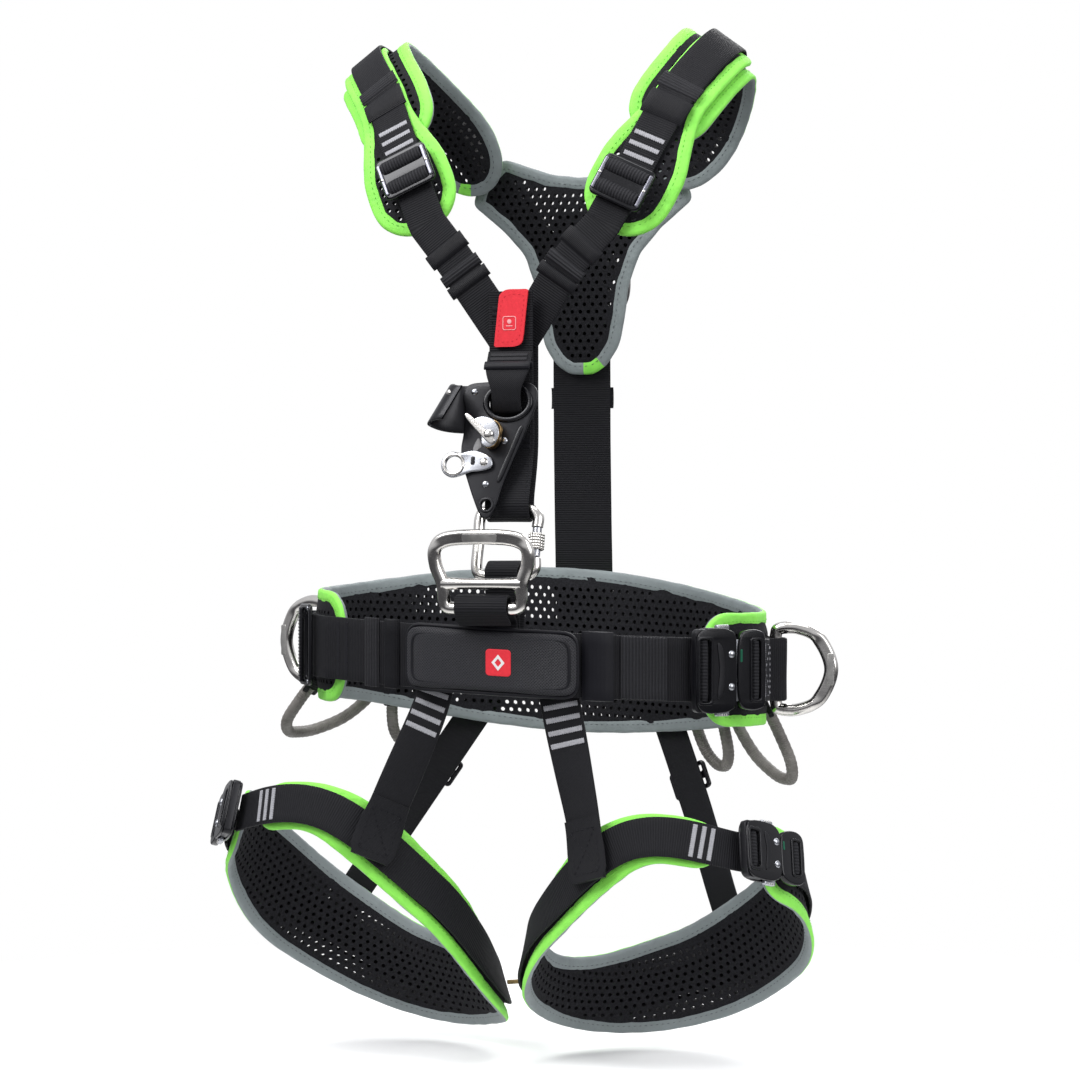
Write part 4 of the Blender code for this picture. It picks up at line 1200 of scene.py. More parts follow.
def build_belt_pad():
    """The belt's perforated pad, widest at the back."""

    def half_height(share):
        return 39.0 + 22.0 * math.sin(math.pi * share) ** 4.5

    path = belt_path(56.0, 311.0, lambda angle: PAD_THICK / 2, 510)
    loop = pad_outline(path, rounded_limits(lambda s: -half_height(s), half_height, 0.05, 3.0))
    add_pad("belt_pad", path.points, loop, PAD_THICK, 4.0, seed=1.0)


def build_waist_webbing():
    """The belt's back and front webbing, with its keepers."""
    start, end = 71.0, 303.0
    path = belt_path(start, end, lambda a: BELT_WEB_OUT + ring_bulge(a), 464)
    strap = Piece("waist_strap_back_look")
    add_strap(strap, path, WAIST_WEB, "webbing", seed=2.0)
    for angle in (86.0, 109.0, 251.0, 274.0):
        place = belt_angle_distance(path, angle, start, end)
        for offset in (-4.0, 0.0, 4.0):
            add_bar(strap, path, place + offset, WAIST_WEB - 5, WEB_THICK / 2, 2.6, "thread", 0.6)
    for angle in (150.0, 208.0):
        place = belt_angle_distance(path, angle, start, end)
        stitch_box(strap, path, place - 17, place + 17, WAIST_WEB - 8, WEB_THICK / 2 + 0.1)
    strap.build(HARNESS, ("waist_strap_back",), "webbing")

    def front_out(angle):
        return BELT_WEB_OUT + 3.6 * smooth_step(-angle, 48.0, 54.0)

    start, end = -75.0, 62.0
    path = belt_path(start, end, front_out, 411)

    def reach(angle):
        return belt_angle_distance(path, angle, start, end)

    strap = Piece("waist_strap_front_look")
    add_strap(strap, path, WAIST_WEB, "webbing", seed=3.0)
    add_strap(strap, path, WAIST_WEB - 1.5, "webbing_ribbed", 1.6, reach(31.0), reach(43.0),
              2.1, seed=4.0)
    for angle in (-44.0, -48.0):
        add_bar(strap, path, reach(angle), WAIST_WEB - 6, WEB_THICK / 2, 2.8, "thread", 0.6)
    strap.build(HARNESS, ("waist_strap_front",), "webbing")
    keepers = Piece("waist_keepers")
    add_keeper(keepers, path, reach(-33.6), 14.0, WAIST_WEB + 4, 1.6, "webbing_ribbed", 2.6)
    add_keeper(keepers, path, reach(-27.0), 13.0, WAIST_WEB + 4, 1.6, "elastic", 2.6)
    add_keeper(keepers, path, reach(25.3), 22.0, WAIST_WEB + 3.5, 1.9, "satin", 3.0)
    keepers.build(HARNESS, (), "webbing")


def cover_mesh(piece_name, path, half_length, half_width, thickness):
    """Closed quilted pouch in the path's frame, ready for the cloth solver."""
    rows, columns = 17, 39
    points = []
    for row in range(rows):
        for column in range(columns):
            a = 2 * column / (columns - 1) - 1
            b = 2 * row / (rows - 1) - 1
            power = 7.0
            scale = (abs(a) ** power + abs(b) ** power) ** (-1 / power) if (a or b) else 1.0
            scale = scale * max(abs(a), abs(b))
            points.append((a * scale * half_length, b * scale * half_width))
    flat = np.array(points)
    centre = path.length / 2
    edge = np.maximum(np.abs(flat[:, 0]) / half_length, np.abs(flat[:, 1]) / half_width)
    swell = thickness * (1.0 - 0.72 * np.clip((edge - 0.72) / 0.28, 0, 1) ** 2) / 2
    upper = path.points(centre + flat[:, 0], flat[:, 1], swell)
    lower = path.points(centre + flat[:, 0], flat[:, 1], -swell)
    faces = []
    count = rows * columns
    for row in range(rows - 1):
        for column in range(columns - 1):
            a = row * columns + column
            quad = (a, a + 1, a + columns + 1, a + columns)
            faces.append(quad)
            faces.append(tuple(count + i for i in reversed(quad)))
    rim = [c for c in range(columns)]
    rim += [(r + 1) * columns - 1 for r in range(1, rows)]
    rim += [count - 1 - c for c in range(1, columns)]
    rim += [count - columns - r * columns for r in range(1, rows - 1)]
    for a, b in zip(rim, rim[1:] + rim[:1]):
        faces.append((b, a, count + a, count + b))
    made = Piece(piece_name)
    made.add([*upper, *lower], faces, "net", [tuple(p) for p in flat] * 2)
    return made


def inflate(obj, pressure, frames, limit):
    """Let the cloth solver puff the pouch up, moving no point further than limit."""
    mesh = obj.data
    before = np.zeros(len(mesh.vertices) * 3)
    mesh.vertices.foreach_get("co", before)
    cloth = obj.modifiers.new("puff", "CLOTH")
    settings = cloth.settings
    settings.quality = 6
    settings.mass = 0.2
    settings.tension_stiffness = 25
    settings.compression_stiffness = 6
    settings.shear_stiffness = 5
    settings.bending_stiffness = 0.3
    settings.use_pressure = True
    settings.uniform_pressure_force = pressure
    settings.effector_weights.gravity = 0.0
    cloth.point_cache.frame_start = 1
    cloth.point_cache.frame_end = frames
    scene = bpy.context.scene
    for number in range(1, frames + 1):
        scene.frame_set(number)
    graph = bpy.context.evaluated_depsgraph_get()
    baked = bpy.data.meshes.new_from_object(obj.evaluated_get(graph), depsgraph=graph)
    after = np.zeros(len(mesh.vertices) * 3)
    baked.vertices.foreach_get("co", after)
    obj.modifiers.clear()
    scene.frame_set(1)
    shift = (after - before).reshape(-1, 3)
    size = np.linalg.norm(shift, axis=1, keepdims=True)
    shift *= np.minimum(1.0, limit / np.maximum(size, 1e-9))
    mesh.vertices.foreach_set("co", (before.reshape(-1, 3) + shift).ravel())
    bpy.data.meshes.remove(baked)
    mesh.update()


def build_front_cover():
    """Quilted cover over the middle of the front strap, piped round its edge."""
    path = belt_path(-20.5, 20.5, lambda angle: BELT_WEB_OUT + 9.0, 160)
    half_length = path.length / 2
    half_width = 23.5
    cover = cover_mesh("front_cover", path, half_length - 1.0, half_width - 1.0, 5.4)
    made = cover.build(HARNESS, ("waist_front_pad",), "cover_fabric", sharp=60.0)
    inflate(made, 3.0, 18, 0.0016)
    smooth = made.modifiers.new("smooth", "SUBSURF")
    smooth.levels = 1
    smooth.render_levels = 1
    trim = Piece("front_cover_piping")
    centre = half_length
    for inset, height, radius, look in ((0.0, 0.2, 1.5, "piping"), (5.6, 2.9, 1.25, "piping")):
        outline = rounded_box(half_length - 1.2 - inset, half_width - 1.2 - inset, 9.0 - 0.5 * inset, 8)
        dense = resample(outline, 1.8)
        centres = [path.point(centre + a, b, height) for a, b in dense]
        outwards = [path.normal(centre + a) for a, b in dense]
        add_tube(trim, path_stations(centres, outwards, closed=True), radius, look, 10, True)
    trim.build(HARNESS, (), "cover_fabric", sharp=60.0)
    badge = Piece("front_badge")
    right = path.along(centre + 8.0)
    up = Vector((0, 0, 1))
    origin = path.point(centre + 8.0, -0.5, 3.6)
    if right.cross(up).dot(path.normal(centre)) < 0:
        right = -right
    add_plate(badge, rounded_box(9.0, 9.3, 2.6, 8), origin, right, up, 1.2, "red", bevel=0.45)
    facing = right.cross(up).normalized()
    mark = origin + facing * 1.15
    diamond = [(0.0, -5.6), (4.7, 0.0), (0.0, 5.6), (-4.7, 0.0)]
    inner = [(0.0, -2.9), (2.4, 0.0), (0.0, 2.9), (-2.4, 0.0)]
    add_plate(badge, diamond, mark, right, up, 0.4, "white", [inner], bevel=0.1, rings=1)
    badge.build(HARNESS, (), "red_fabric")


def plane_loop(points, origin, right, up, spans):
    """Stations of a smooth closed loop through points in a plane."""
    anchors = [Vector(origin) + Vector(right) * a + Vector(up) * b for a, b in points]
    centres = spline(anchors, spans, closed=True)
    facing = Vector(right).cross(Vector(up))
    return path_stations(centres, [facing] * len(centres), closed=True)


def nearest_share(stations, target):
    """Share of the loop nearest to a point."""
    gaps = [(centre - target).length for centre, _, _ in stations]
    return gaps.index(min(gaps)) / (len(stations) - 1)


FORGED_SQUASH = 0.74  # height of a forged bar where it is pressed flat, of its round height
FORGED_SPREAD = 1.16  # and its width there
FLAT_SUNK = 0.35  # how far a stamped flat is sunk into the bar


def forged_shape(middle, half_span):
    """Cross-section scales of a forged bar, pressed flat about one share of its loop."""

    def shape(share, turn):
        off = min(abs(share - middle), 1 - abs(share - middle))
        flat = 1.0 - smooth_step(off, half_span * 0.8, half_span * 1.25)
        level = abs(math.sin(turn))
        limit = 1.0 if level < FORGED_SQUASH else FORGED_SQUASH / level
        return 1.0 + (FORGED_SPREAD - 1.0) * flat, 1.0 + (limit - 1.0) * flat

    return shape


def add_flats(ring, centre, across, up, outline, tube, rings=3):
    """The stamped flats on both faces of a forged bow."""
    front = Vector(across).cross(Vector(up).normalized())
    for sign in (1, -1):
        base = centre + front * (sign * (tube * FORGED_SQUASH - FLAT_SUNK))
        add_plate(ring, outline, base, Vector(across) * sign, up, 0.5, "stamped", bevel=0.2,
                  rings=rings)


def build_side_ring(side):
    """Ring on a bar under the belt's webbing, with its fabric tab."""
    sign = SIDE_SIGN[side]
    pivot = belt_point(sign * RING_BAR_ANGLE, RING_BAR_OUT, 0.0)
    h = RING_HALF_HEIGHT
    r = RING_REACH
    half_loop = ((0, 0.5 * h), (0, 0.86 * h), (3, h), (0.42 * r, h), (0.78 * r, 0.74 * h))
    points = [(0, 0), *half_loop, (r, 0)]
    points += [(a, -b) for a, b in reversed(half_loop)]
    swing = math.radians(RING_SWUNG_BACK[side])
    reach = Vector((sign * math.cos(swing), math.sin(swing), 0))
    stations = plane_loop(points, pivot, reach, (0, 0, 1), 14)
    middle = nearest_share(stations, pivot + reach * r)
    ring = Piece(f"side_ring_{side}_look")
    add_tube(ring, stations, RING_TUBE, "steel", 28, True, forged_shape(middle, 0.09))
    flat = rounded_box(2.6, 11.5, 1.4, 5)
    add_flats(ring, pivot + reach * r, reach * sign, (0, 0, 1), flat, RING_TUBE, 2)
    ring.build(f"side_ring_{side}", (f"side_ring_{side}",), "polished_steel", sharp=45.0)
    patch = Piece(f"side_ring_tab_{side}")
    angle = RING_BAR_ANGLE if sign > 0 else 360 - RING_BAR_ANGLE
    path = belt_path(angle - 16, angle + 16, lambda a: BELT_WEB_OUT - 1.7, 64)
    add_strap(patch, path, WAIST_WEB - 6, "webbing_twill", 0.9, seed=7.0)
    patch.build(HARNESS, (), "webbing")


def build_waist_adjuster():
    """Slide adjuster over the left front strap: frame, wear strips and toothed bar."""
    centre, along, up, outward = belt_frame(WAIST_ADJUSTER_ANGLE, BELT_WEB_OUT + 6.2)
    window = rounded_box(4.0, 23.5, 1.5, 5)
    holes = [moved(window, -8.5, 0), moved(window, 8.5, 0)]
    adjuster = Piece("waist_adjuster_frame_look")
    add_plate(adjuster, rounded_box(17.0, 29.5, 5.0), centre, along, up, 3.0, "black_gloss",
              holes, bevel=1.2, rings=4)
    for sign in (-1, 1):
        base = centre + up * (sign * 26.5) + outward * 2.6
        add_plate(adjuster, rounded_box(12.5, 1.3, 1.2, 5), base, along, up, 1.0, "black_alloy", bevel=0.45)
        for a in (-12.0, 12.0):
            add_rivet(adjuster, centre + along * a + up * sign * 26.5 + outward * 2.9, outward, 1.6, 0.8)
    adjuster.build("waist_adjuster", ("waist_adjuster_frame",), "black_alloy")
    bar = Piece("waist_adjuster_bar_look")
    base = centre + outward * 3.5
    add_plate(bar, rounded_box(3.2, 27.5, 1.5, 5), base, along, up, 3.0, "black_gloss", bevel=1.2, rings=4)
    for i in range(19):
        tooth = base + up * (-22.5 + 2.5 * i) + outward * 2.9
        add_plate(bar, rounded_box(2.4, 0.55, 0.3, 3), tooth, along, up, 0.5, "black_alloy",
                  bevel=0.2, rings=1)
    bar.build("waist_adjuster_bar", ("waist_adjuster_bar",), "black_alloy")


def add_roll(piece, centre, along, facing, half, radius, tall, taper=0.14, tapered=0.1):
    """Webbing rolled round a bar; its ends taper over a share of its length."""
    centres = [centre + along * (half * i / 8) for i in range(-8, 9)]

    def pillow(share, _):
        closing = 1.0 - taper + taper * smooth_step(min(share, 1 - share), 0.0, tapered)
        return closing, closing * tall

    stations = path_stations(centres, [facing] * len(centres))
    add_tube(piece, stations, radius, "webbing_ribbed", 20, False, pillow)


def build_quick_buckle(prefix, centre, along, up, half):
    """Female half with socket, window and rivets; male half with tongue; two release clips."""
    outward = along.cross(up)
    inner = half - 8.0
    edge = [(-16.6, half * 0.55), (-14.5, half * 0.86), (-8, half - 0.6), (2, half - 0.2)]
    edge += [(11, half - 1.5), (16.2, half - 6.0), (17, half * 0.4)]
    shield = smooth_outline([(-17, 0), *mirrored(edge)], 6)
    slot = moved(rounded_box(4.5, inner, 2.0, 5), -9.5, 0)
    female = Piece(f"{prefix}_female_look")
    add_plate(female, shield, centre, along, up, 2.1, "black_gloss", [slot], bevel=0.8)
    core = rounded_box(9.2, half - 1.0, 3.5, 5)
    add_plate(female, moved(core, -7.4, 0), centre + outward * 1.9, along, up, 5.2, "black_alloy",
              [slot], bevel=0.5)
    for sign in (-1, 1):
        block = moved(rounded_box(2.0, 2.4, 0.8, 3), 14.4, sign * (half - 5.6))
        add_plate(female, block, centre + outward * 1.9, along, up, 5.2, "black_alloy", bevel=0.3)
    face = centre + outward * 6.9
    add_plate(female, shield, face, along, up, 2.1, "black_gloss", [slot], bevel=0.95, rings=4)
    rim_out = moved(rounded_box(6.6, inner + 2.2, 3.2, 6), -9.3, 0)
    add_plate(female, rim_out, face + outward * 1.7, along, up, 1.3, "black_gloss", [slot], bevel=0.55)
    ridge = [(0.5, 0.62 * half), (5, 0.5 * half), (6.5, 0), (5, -0.5 * half), (0.5, -0.62 * half)]
    ridge = smooth_outline([*ridge, (2.2, 0)], 6)
    add_plate(female, ridge, face + outward * 1.8, along, up, 0.9, "black_alloy", bevel=0.4)
    add_roll(female, centre - along * 9.3 + outward * 4.6, up, outward, inner - 0.6, 4.0, 1.2)
    for level in (-0.38 * half, 0.38 * half):
        add_rivet(female, face + along * 12.4 + up * level + outward * 2.1, outward, 2.7, 1.5, "zinc")
    female.build(prefix, (f"{prefix}_female",), "black_alloy")
    rising = 1 if up.z > 0 else -1
    for name, sign in (("upper", rising), ("lower", -rising)):
        base = centre + along * 7.0 + up * (sign * (half - 1.6)) + outward * 2.7
        clip = Piece(f"{prefix}_clip_{name}_look")
        add_plate(clip, rounded_box(5.4, 3.6, 1.4, 6), base, along, up, 3.8, "zinc", bevel=0.9, rings=4)
        for offset in (-2.8, -0.9, 1.0, 2.9):
            groove = base + along * offset + up * (sign * 2.7) + outward * 3.3
            add_plate(clip, rounded_box(0.45, 0.8, 0.3, 3), groove, along, up, 0.7, "stamped",
                      bevel=0.2, rings=1)
        clip.build(f"{prefix}_clip_{name}", (f"{prefix}_clip_{name}",), "black_alloy")
    male_base = centre + along * 31.0 + outward * 2.0
    reach = half - 8.4
    male = Piece(f"{prefix}_male_look")
    edge = [(-12, 0.2 * half), (-11.4, half * 0.6), (-8.5, half - 4.2), (-2, half - 1.9)]
    edge += [(6, half - 2.2), (11, half - 6.0), (12, half * 0.3)]
    body = smooth_outline(mirrored(edge), 6)
    window = moved(rounded_box(3.6, half - 9.0, 1.6, 5), 3.5, 0)
    add_plate(male, body, male_base, along, up, 5.2, "black_gloss", [window], bevel=1.3, rings=4)
    tongue = [(-27.0, 2 - reach), (-25.0, -reach), (-8.0, -reach)]
    tongue = mirrored(tongue)
    add_plate(male, tongue, male_base + outward * 1.4, along, up, 2.4, "zinc", bevel=0.5)
    # A short dark green strip on the male half's face: a painted glint, not a part of the buckle.
    strip = moved(rounded_box(0.9, 0.15 * half, 0.8, 5), -9.2, 0.34 * half)
    add_plate(male, strip, male_base + outward * 4.9, along, up, 0.6, "painted_glint", bevel=0.2)
    rim = moved(rounded_box(5.4, half - 7.2, 2.6, 6), 3.5, 0)
    add_plate(male, rim, male_base + outward * 4.9, along, up, 1.1, "black_gloss", [window], bevel=0.5)
    add_roll(male, male_base + along * 3.5 + outward * 2.9, up, outward, half - 9.6, 3.1, 1.1)
    male.build(HARNESS, (f"{prefix}_male",), "black_alloy")


def build_buckle_webbing():
    """Webbing that leaves the male half's slot: one satin tab with a sewn box and bar tacks; the rolls over
    the bars are made with the buckle.
    """
    start, end = 40.0, 84.0
    path = belt_path(start, end, lambda a: BELT_WEB_OUT, 132)

    def reach(angle):
        return belt_angle_distance(path, angle, start, end)

    tab = Piece("waist_buckle_webbing")
    male = reach(WAIST_BUCKLE_ANGLE) + 34.5
    add_strap(tab, path, WAIST_WEB - 1, "satin", 1.8, male - 3.5, path.length, 4.4, seed=8.0)
    stitch_box(tab, path, male + 13, male + 27, WAIST_WEB - 9, 5.4, "tack")
    for place in (male + 15.5, male + 18.7):
        add_bar(tab, path, place, WAIST_WEB - 7, 5.3, 2.8, "tack", 0.6)
    tab.build(HARNESS, (), "webbing")


GEAR_LOOP_OUT = 14.5
GEAR_LOOP_TUBE = 4.3
GEAR_LOOP_RIBS = 34


def build_gear_loop(name, start, end, top, drop, spread, lean):
    """Ribbed tube that hangs between two sewn tabs; lean is where along it hangs lowest."""
    points = []
    for share, fall, rise in GEAR_LOOP_CURVE:
        skewed = share ** (math.log(lean) / math.log(0.5))
        angle = start + (end - start) * skewed
        out = GEAR_LOOP_OUT + spread * rise
        points.append(belt_point(angle, out, top + (drop - top) * fall))
    centres = spline(points, 14)
    middle = belt_frame((start + end) / 2, 0)[3]
    stations = path_stations(centres, [middle] * len(centres))
    loop = Piece(f"{name}_look")

    def ribbed(share, _):
        lift = 1.0 + 0.035 * math.sin(share * 2 * math.pi * GEAR_LOOP_RIBS)
        return lift, lift

    add_tube(loop, stations, GEAR_LOOP_TUBE, "tube", 16, False, ribbed)
    loop.build(HARNESS, (name,), "gear_loop_tube", sharp=60.0)
    tabs = Piece(f"{name}_tabs")
    for station, after in ((stations[0], stations[6]), (stations[-1], stations[-7])):
        down = (after[0] - station[0]).normalized()
        outward = station[2]
        side = down.cross(outward).normalized()
        base = station[0] - outward * 3.2 - down * 4.0
        add_plate(tabs, rounded_box(8.0, 8.5, 2.0, 5), base, side, down, 1.6, "webbing", bevel=0.6)
        for level in (-4.0, 4.5):
            seam = base + down * level
            add_plate(tabs, rounded_box(7.0, 1.1, 0.8, 4), seam, side, down, 2.1, "thread", bevel=0.4)
    tabs.build(HARNESS, (), "webbing")


# ---------------------------------------------------------------- front hardware


def build_ventral_ring():
    """Forged ring with a waisted cross bar."""
    pivot = Vector(VENTRAL_PIVOT)
    right = Vector((1, 0, 0))
    up = Vector((0, -0.12, 1)).normalized()
    top = VENTRAL_HEIGHT
    half = ((13, 0), (24, 0), (27.5, 4), (28.5, VENTRAL_WINDOW), (33, 0.62 * top), (33, 0.86 * top))
    points = [(0, 0), *half, (24, top), (0, top + 1.5), (-24, top)]
    points += [(-a, b) for a, b in reversed(half)]
    stations = plane_loop(points, pivot, right, up, 12)
    middle = nearest_share(stations, pivot + up * (top + 1.5))
    ring = Piece("ventral_ring_look")
    add_tube(ring, stations, VENTRAL_TUBE, "steel", 28, True, forged_shape(middle, 0.1))
    front = right.cross(up)
    centres = [pivot + up * VENTRAL_WINDOW + right * (28.5 * i / 10) for i in range(-10, 11)]

    def waisted(share, _):
        swell = 0.9 + 0.28 * abs(2 * share - 1) ** 3
        return swell, swell

    bar = path_stations(centres, [front] * len(centres))
    add_tube(ring, bar, VENTRAL_TUBE - 0.3, "steel", 24, False, waisted)
    flat = rounded_box(12.5, 2.7, 1.3, 5)
    add_flats(ring, pivot + up * (top + 1.4), right, up, flat, VENTRAL_TUBE)
    ring.build("ventral_ring", ("ventral_ring",), "polished_steel", sharp=45.0)


def build_ventral_webbing():
    """Webbing from behind the front strap, up and round the ventral ring's foot bar."""
    x, y, z = VENTRAL_PIVOT
    turn_radius = VENTRAL_TUBE + 0.9 + WEB_THICK / 2
    points = [Vector((x, y + 5.0, z - 11.5)), Vector((x, y + 0.6 - turn_radius, z - 3.0))]
    outwards = [Vector((0, -1, 0))] * 2
    for step in range(7):
        turn = math.radians(180 - 180 * step / 6)
        direction = Vector((0, math.cos(turn), math.sin(turn)))
        points.append(Vector((x, y, z + 1.5)) + direction * turn_radius)
        outwards.append(direction)
    behind = -(WAIST_HALF_Y + BELT_WEB_OUT + WEB_THICK + 0.3)
    points += [
        Vector((x, y + turn_radius + 3.5, z - 3.5)),
        Vector((x, behind - 1.2, z - 9.5)),
        Vector((x, behind, z - 14.5)),
        Vector((x, behind, z - 36.0)),
    ]
    outwards += [Vector((0, 1, 0))] * 4
    path = webbing_path(points, outwards, 6)
    strap = Piece("ventral_ring_webbing_look")
    add_strap(strap, path, 38.0, "webbing", seed=9.0, wave=0.1, step=1.6)
    strap.build(HARNESS, ("ventral_ring_webbing",), "webbing")


def build_connector():
    """Oval connector: bent body, gate and knurled screw sleeve."""
    foot, up, length = connector_axes()
    right = Vector((1, 0, 0))
    half = CONNECTOR_HALF_WIDTH
    low = 0.27 * length
    high = 0.73 * length
    points = [
        (half, low), (half, 0.12 * length), (half - 6, 1.0), (0, 0), (6 - half, 1.0),
        (-half, 0.12 * length), (-half, 0.5 * length), (-half, 0.88 * length),
        (6 - half, length - 1.0), (0, length), (half - 6, length - 1.0), (half, 0.88 * length),
        (half, high),
    ]
    centres = spline([foot + right * a + up * b for a, b in points], 10)
    facing = right.cross(up)
    body = Piece("connector_body_look")
    add_tube(body, path_stations(centres, [facing] * len(centres)), CONNECTOR_TUBE, "steel", 26)
    base = foot - right * half + up * (0.5 * length) + facing * (CONNECTOR_TUBE - 0.5)
    add_plate(body, rounded_box(1.7, 8.0, 1.0, 5), base, right, up, 0.6, "stamped", bevel=0.25)
    body.build("connector", ("connector_body",), "polished_steel", sharp=45.0)
    gate_foot = foot + right * half + up * (low + 1.4)
    gate_top = foot + right * half + up * (high - 0.4)
    span = (gate_top - gate_foot).length
    gate = Piece("connector_gate_look")
    radius = CONNECTOR_TUBE - 0.8
    profile = [(0.0, 0.0), (radius - 0.5, 0.0), (radius, 0.5)]
    profile += [(radius, span - 0.5), (radius - 0.5, span), (0.0, span)]
    add_turned(gate, gate_foot, up, profile, "zinc", 26)
    gate.build("connector_gate", ("connector_gate",), "polished_steel")
    sleeve = Piece("connector_sleeve_look")
    inner = CONNECTOR_TUBE - 0.45
    outer = CONNECTOR_TUBE + 1.5
    sleeve_foot = gate_foot + up * 5.0
    size = span - 9.5
    profile = [(inner, 0.0), (outer - 0.6, 0.0), (outer, 0.6)]
    ridges = 5
    for i in range(ridges):
        level = 1.6 + (size - 3.2) * i / (ridges - 1)
        profile += [(outer, level - 0.5), (outer - 0.35, level), (outer, level + 0.5)]
    profile += [(outer, size - 0.6), (outer - 0.6, size), (inner, size)]
    across = up.orthogonal().normalized()
    beyond = up.cross(across)
    sides = 48
    vertices = []
    for radius, height in profile:
        for k in range(sides):
            turn = 2 * math.pi * k / sides
            grip = 0.22 * math.cos(24 * turn) if radius > inner + 0.1 else 0.0
            spoke = across * math.cos(turn) + beyond * math.sin(turn)
            vertices.append(sleeve_foot + up * height + spoke * (radius + grip))
    faces = loft([range(sides)] * len(profile), closed=True)
    sleeve.add(vertices, faces, "steel")
    sleeve.build("connector_sleeve", ("connector_sleeve",), "polished_steel", sharp=50.0)


def build_connector_tab():
    """Webbing folded over the connector's foot."""
    x = CONNECTOR_TOP.x
    y, z = CONNECTOR_FOOT.y, CONNECTOR_FOOT.z
    points = [
        Vector((x, y + 0.6, z - 50.0)), Vector((x, y - 5.5, z - 24.0)), Vector((x, y - 10.0, z + 2.0)),
        Vector((x, y - 5.5, z + 8.5)), Vector((x, y, z + 10.5)), Vector((x, y + 5.5, z + 8.5)),
        Vector((x, y + 9.5, z + 2.0)), Vector((x, y + 9.5, z - 22.0)), Vector((x, y + 5.5, z - 50.0)),
    ]
    middle = Vector((x, y, z - 12.0))
    outwards = [Vector((0, -1, 0))] * 3
    outwards += [(p - middle).normalized() for p in points[3:6]]
    outwards += [Vector((0, 1, 0))] * 3
    path = webbing_path(points, outwards, 7)
    tab = Piece("connector_tab_look")
    add_strap(tab, path, 24.0, "webbing", seed=10.0, wave=0.15, step=1.8)
    for place in (19.0, 23.0, 27.0):
        add_bar(tab, path, place, 19.0, WEB_THICK / 2, 2.6, "thread", 0.6)
    tab.build(HARNESS, ("connector_tab",), "webbing")


def build_sternal_sleeve():
    """Folded webbing from the breastbone down to the connector's top, and back up."""
    top_y, top_z = CONNECTOR_TOP.y, CONNECTOR_TOP.z
    x = CONNECTOR_TOP.x
    points = [
        Vector((x - 2, -91.5, 259.0)), Vector((x - 2, -90.4, 200.0)), Vector((x, -95.2, 150.0)),
        Vector((x, top_y - 6.6, top_z + 8.0)), Vector((x, top_y - 6.8, top_z - 1.0)),
        Vector((x, top_y - 4.6, top_z - 6.0)), Vector((x, top_y, top_z - 8.2)),
        Vector((x, top_y + 4.6, top_z - 6.0)), Vector((x, top_y + 6.8, top_z - 1.0)),
        Vector((x, top_y + 6.6, top_z + 8.0)), Vector((x, -84.0, 150.0)),
        Vector((x - 2, -77.5, 200.0)), Vector((x - 2, -76.5, 259.0)),
    ]
    middle = Vector((x, top_y, top_z + 30.0))
    outwards = [Vector((0, -1, 0))] * 4
    outwards += [(p - middle).normalized() for p in points[4:9]]
    outwards += [Vector((0, 1, 0))] * 4
    path = webbing_path(points, outwards, 8)
    sleeve = Piece("sternal_sleeve_look")
    add_strap(sleeve, path, 32.0, "webbing", WEB_THICK, seed=11.0, wave=0.3)
    add_keeper(sleeve, path, 52.0, 5.0, 32.5, 1.0, "satin", 1.6)
    for place in (12.0, 16.0, 106.0, 110.0):
        add_bar(sleeve, path, place, 27.0, WEB_THICK / 2, 2.6, "thread", 0.6)
    for across in (-13.5, 13.5):
        stitch_line(sleeve, path, 20.0, 150.0, across, WEB_THICK / 2, "thread")
    sleeve.build(HARNESS, ("sternal_sleeve",), "webbing")


def build_marker_tab():
    """Slanted red tab with a plain outlined patch."""
    centre = Vector((CONNECTOR_TOP.x - 1.0, -93.2, 240.0))
    right = Vector((1, 0, 0))
    up = Vector((0, 0, 1))
    outline = smooth_outline(
        ((-9.6, 0), (-8.3, 12), (-7.3, 16.4), (-3, 19.2), (6, 19.4), (11.3, 19.4), (11.4, 18.4),
         (9.4, 0), (8.0, -13), (6.6, -17.2), (2.5, -19.2), (-6, -19.4), (-11.4, -19.4), (-11.5, -18.4)), 6
    )
    facing = right.cross(up)
    tab = Piece("marker_tab_look")
    add_plate(tab, outline, centre, right, up, 1.8, "red", bevel=0.8)
    edge = resample(outline, 2.4) * 0.86
    edge = np.vstack([edge, edge[:1]])
    points = [centre + right * a + up * b + facing * 1.8 for a, b in edge]
    add_stitches(tab, points, [facing] * len(points), "red_thread", 2.0, 1.5, 0.28)
    base = centre + right * -1.2 + up * -3.6 + facing * 1.7
    add_plate(tab, rounded_box(4.9, 4.9, 1.6, 5), base, right, up, 0.4, "tab_print",
              [rounded_box(4.4, 4.4, 1.2, 5)], bevel=0.1, rings=1)
    add_plate(tab, circle(1.6, (0, 1.1)), base, right, up, 0.35, "tab_print", bevel=0.1, rings=1)
    add_plate(tab, rounded_box(2.4, 0.35, 0.3, 4), base - up * 2.0, right, up, 0.35, "tab_print",
              bevel=0.1, rings=1)
    tab.build(HARNESS, ("marker_tab",), "red_fabric")


def clamp_axes():
    """The clamp's right, up and facing directions; it leans back."""
    right = Vector((1, 0, 0))
    lean = math.radians(CLAMP_LEAN)
    up = Vector((0, math.sin(lean), math.cos(lean)))
    return right, up, right.cross(up)


def add_sheet(piece, path, low, high, thickness, look):
    """A bent sheet whose edges lie at low(share) and high(share)."""
    count = int(path.length / 1.2) + 1
    vertices = []
    uvs = []
    for i in range(count + 1):
        share = i / count
        near, far = low(share), high(share)
        ring = np.array(flat_profile(far - near, thickness, 8))
        distance = path.length * share
        shifted = ring[:, 0] + (near + far) / 2
        vertices.extend(path.points(np.full(len(ring), distance), shifted, ring[:, 1]))
        uvs.extend((a, distance) for a in shifted)
    size = len(flat_profile(1.0, thickness, 8))
    piece.add(vertices, loft([range(size)] * (count + 1)), look, uvs)


